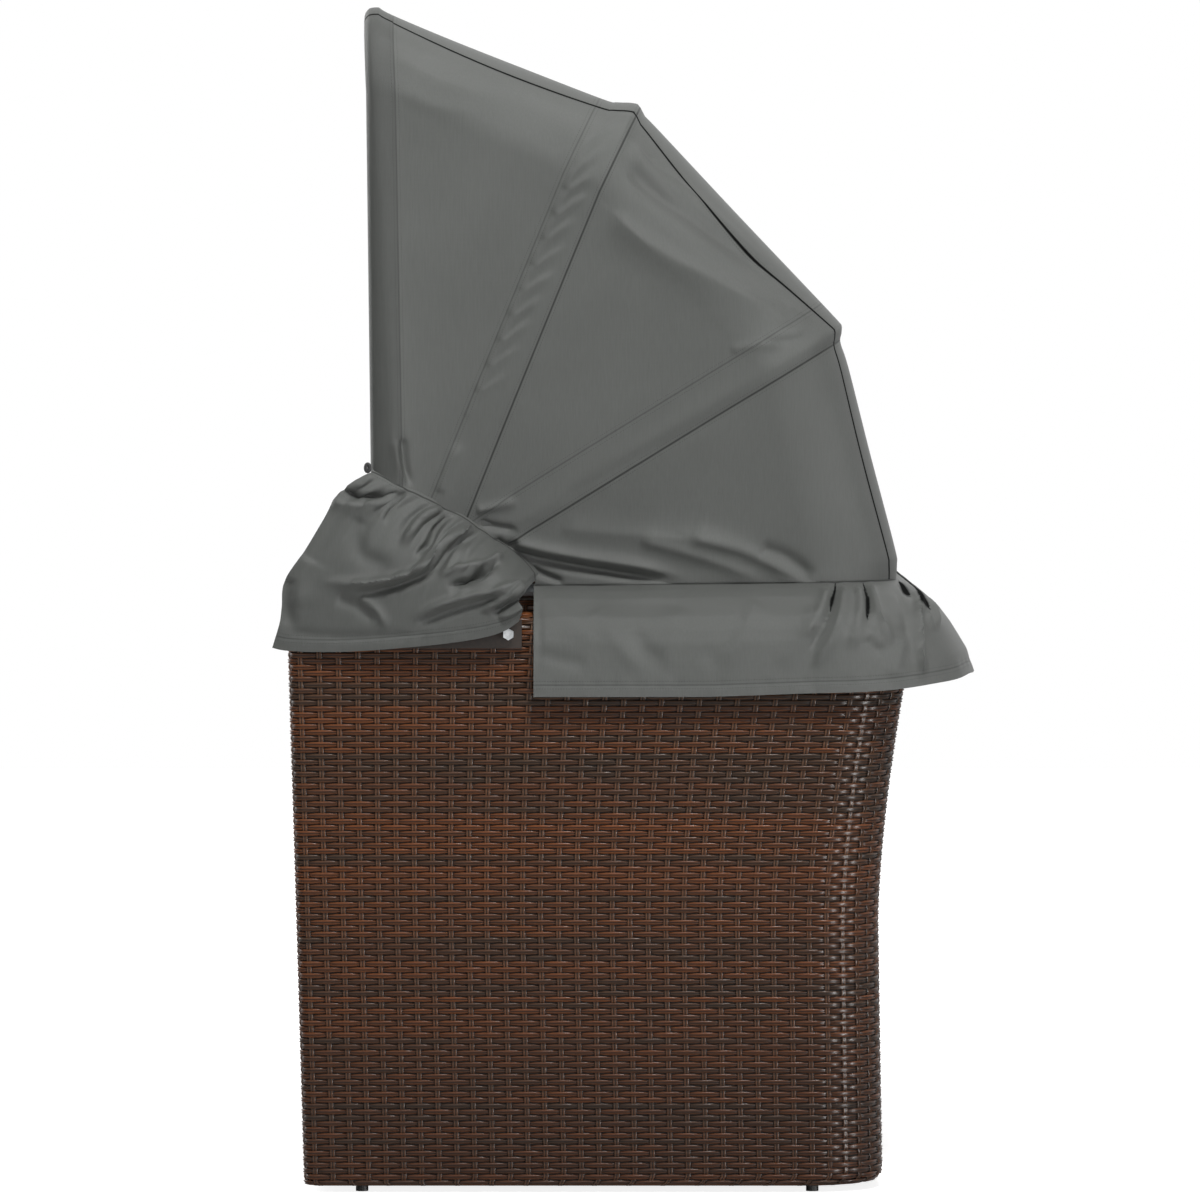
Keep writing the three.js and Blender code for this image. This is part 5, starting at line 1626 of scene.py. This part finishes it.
def makeCushion(name, node, size, place, turn):
    # One simulated cover serves the cushions on both sides.
    block = coverBlock(name, size)
    start = pointsOf(block.data)
    end = filled(block)
    level = size[2] / 2 - cushion["seamInset"]
    lines = [seamLine(start, end, seamRing(size, z)) for z in (level, -level)]
    for line in lines:
        end = pinched(end, line)
    low, high = end.min(0), end.max(0)
    centre = (low + high) / 2
    fit = np.minimum(1, (np.array(size) + 2 * cushion["slack"]) / (high - low))
    lean = np.array([[1, 0, 0], [0, math.cos(turn), -math.sin(turn)], [0, math.sin(turn), math.cos(turn)]])
    cover, *lines = [(points - centre) * fit @ lean.T + np.array(place) for points in (end, *lines)]
    block.data.vertices.foreach_set("co", cover.reshape(-1))
    block.data.polygons.foreach_set("use_smooth", [True] * len(block.data.polygons))
    block.data.materials.clear()
    block.data.materials.append(materials["cushion"])
    divide = block.modifiers.new("divide", "SUBSURF")
    divide.levels = divide.render_levels = 1
    applied(block)
    pieces = [block]
    for k, line in enumerate(lines):
        pieces.append(ringPiece(f"{name}_piping_{k}", line, cushion["piping"], "trim"))
    for piece in pieces:
        for twin, side in ((piece, "right"), (mirrored(piece), "left")):
            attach(twin, "base")
            if piece is block:
                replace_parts(twin, node.replace("right", side))


def makeCushions():
    slack = 2 * cushion["slack"]
    low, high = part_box("right_seat_cushion")
    cut = tuple(length - slack for length in high - low)
    makeCushion("right_seat_cover", "right_seat_cushion", cut, (low + high) / 2, 0)
    low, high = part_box("right_back_cushion")
    middle = (low + high) / 2
    step = 8 * mm
    lean = math.atan2(rearY(middle.z + step) - rearY(middle.z - step), 2 * step)
    cut = (high.x - low.x - slack, cushion["backHeight"] - slack, cushion["backThickness"] - slack)
    makeCushion("right_back_cover", "right_back_cushion", cut, middle, math.pi / 2 - lean)


makeCushions()
print("cushions filled")


# Floor, light and camera

stage = {
    "floorHalf": 9.0,
    "pale": "#f4f4f4",
    "glowFrom": 0.5,
    "glowTo": 2.2,
    "glow": (0.82, 1.15),
    "skyLight": 0.11,
}
# Softboxes: where each stands, how large and strong it is and what it faces. The glint is a low sun on the
# strands of the rear corner, which shows only in their shine.
lamps = {
    "key": {"place": (2.5, 0.7, 3.8), "size": 0.6, "power": 114, "aim": (0, 0, 0.7)},
    "front": {"place": (-2.2, -4.6, 2.3), "size": 3.0, "power": 130, "aim": (0, -0.3, 0.6)},
    "glint": {"place": (2.62, 2.5, 0.25), "size": 0.5, "power": 60, "aim": (0.62, 0.28, 0.2)},
    "fill": {"place": (5.2, -1.2, 1.0), "size": 3.0, "power": 10, "aim": (0, 0, 0.7)},
    "crown": {"place": (-0.6, 0.4, 4.2), "size": 3.0, "power": 12, "aim": (0, 0, 0.7)},
}
lens = {"distance": 10.0, "rise": 0.32, "targetX": 0.62, "sensor": 36, "farEnd": 60}


def makeFloor():
    half = stage["floorHalf"]
    corners = [(-half, -half, 0), (half, -half, 0), (half, half, 0), (-half, half, 0)]
    material, tree = newMaterial("pale_floor", Roughness=0.9, Specular_IOR_Level=0.1)
    inputs = tree.nodes["Principled BSDF"].inputs
    inputs["Base Color"].default_value = linear(stage["pale"])
    inputs["Emission Color"].default_value = (1, 1, 1, 1)
    direct = addNode(tree, "ShaderNodeLightPath").outputs["Is Camera Ray"]
    places = addNode(tree, "ShaderNodeTexCoord").outputs["Object"]
    away = addNode(tree, "ShaderNodeVectorMath", {0: places}, operation="LENGTH").outputs["Value"]
    low, high = stage["glow"]
    glow = addNode(tree, "ShaderNodeMapRange", {
        "Value": away, "From Min": stage["glowFrom"], "From Max": stage["glowTo"], "To Min": low,
        "To Max": high}).outputs["Result"]
    tree.links.new(weighted(tree, (direct, glow)), inputs["Emission Strength"])
    floor = newObject("floor", meshFrom("floor", corners, [(0, 1, 2, 3)], False))
    floor.data.materials.append(material)


def makeSky():
    # A white surround that lights the daybed only faintly.
    world = bpy.context.scene.world or bpy.data.worlds.new("world")
    bpy.context.scene.world = world
    world.use_nodes = True
    tree = world.node_tree
    inputs = tree.nodes["Background"].inputs
    inputs["Color"].default_value = (1, 1, 1, 1)
    path = addNode(tree, "ShaderNodeLightPath").outputs
    seen = path["Is Camera Ray"]
    for ray in ("Is Glossy Ray", "Is Transmission Ray"):
        seen = addNode(tree, "ShaderNodeMath", {0: seen, 1: path[ray]}, operation="MAXIMUM").outputs[0]
    level = addNode(tree, "ShaderNodeMapRange", {"Value": seen, "To Min": stage["skyLight"], "To Max": 1.0})
    tree.links.new(level.outputs["Result"], inputs["Strength"])


def facing(place, aim):
    return (Vector(aim) - Vector(place)).to_track_quat("-Z", "Y").to_euler()


def makeLamp(name, place, size, power, aim):
    lamp = bpy.data.lights.new(name, "AREA")
    lamp.size = size
    lamp.energy = power
    light = bpy.data.objects.new(name, lamp)
    bpy.context.scene.collection.objects.link(light)
    light.location = place
    light.rotation_euler = facing(place, aim)
    return light


def makeCamera():
    # A long lens from the right side, a little above the middle. The picture's scale holds at the legs.
    data = bpy.data.cameras.new("camera")
    data.sensor_width = lens["sensor"]
    data.lens = lens["sensor"] * lens["distance"] / (picture["width"] * pictureScale)
    data.clip_end = lens["farEnd"]
    camera = bpy.data.objects.new("camera", data)
    bpy.context.scene.collection.objects.link(camera)
    y, z = fromPicture([picture["centre"]])[0]
    target = Vector((lens["targetX"], y, z))
    camera.location = target + Vector((lens["distance"], 0, lens["rise"]))
    camera.rotation_euler = facing(camera.location, target)
    bpy.context.scene.camera = camera


makeFloor()
makeSky()
lights = {name: makeLamp(name, **lamp) for name, lamp in lamps.items()}
lights["glint"].visible_diffuse = False
makeCamera()
bpy.context.scene.view_settings.view_transform = "Standard"
print("stage set")


# Kept CAD nodes

cadFinish = {
    "foot": "plastic", "washer": "plastic", "saddle": "plastic", "tab": "webbing", "bolt": "zinc",
    "nut": "zinc", "hoop": "tube", "frame": "coat", "rail": "coat", "bearer": "coat", "bracket": "coat",
    "deck": "deck",
}
for name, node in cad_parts.items():
    words = [word for word in name.split("_") if word in cadFinish]
    if words:
        node.data.materials.clear()
        node.data.materials.append(materials[cadFinish[words[-1]]])
print("nodes dressed")
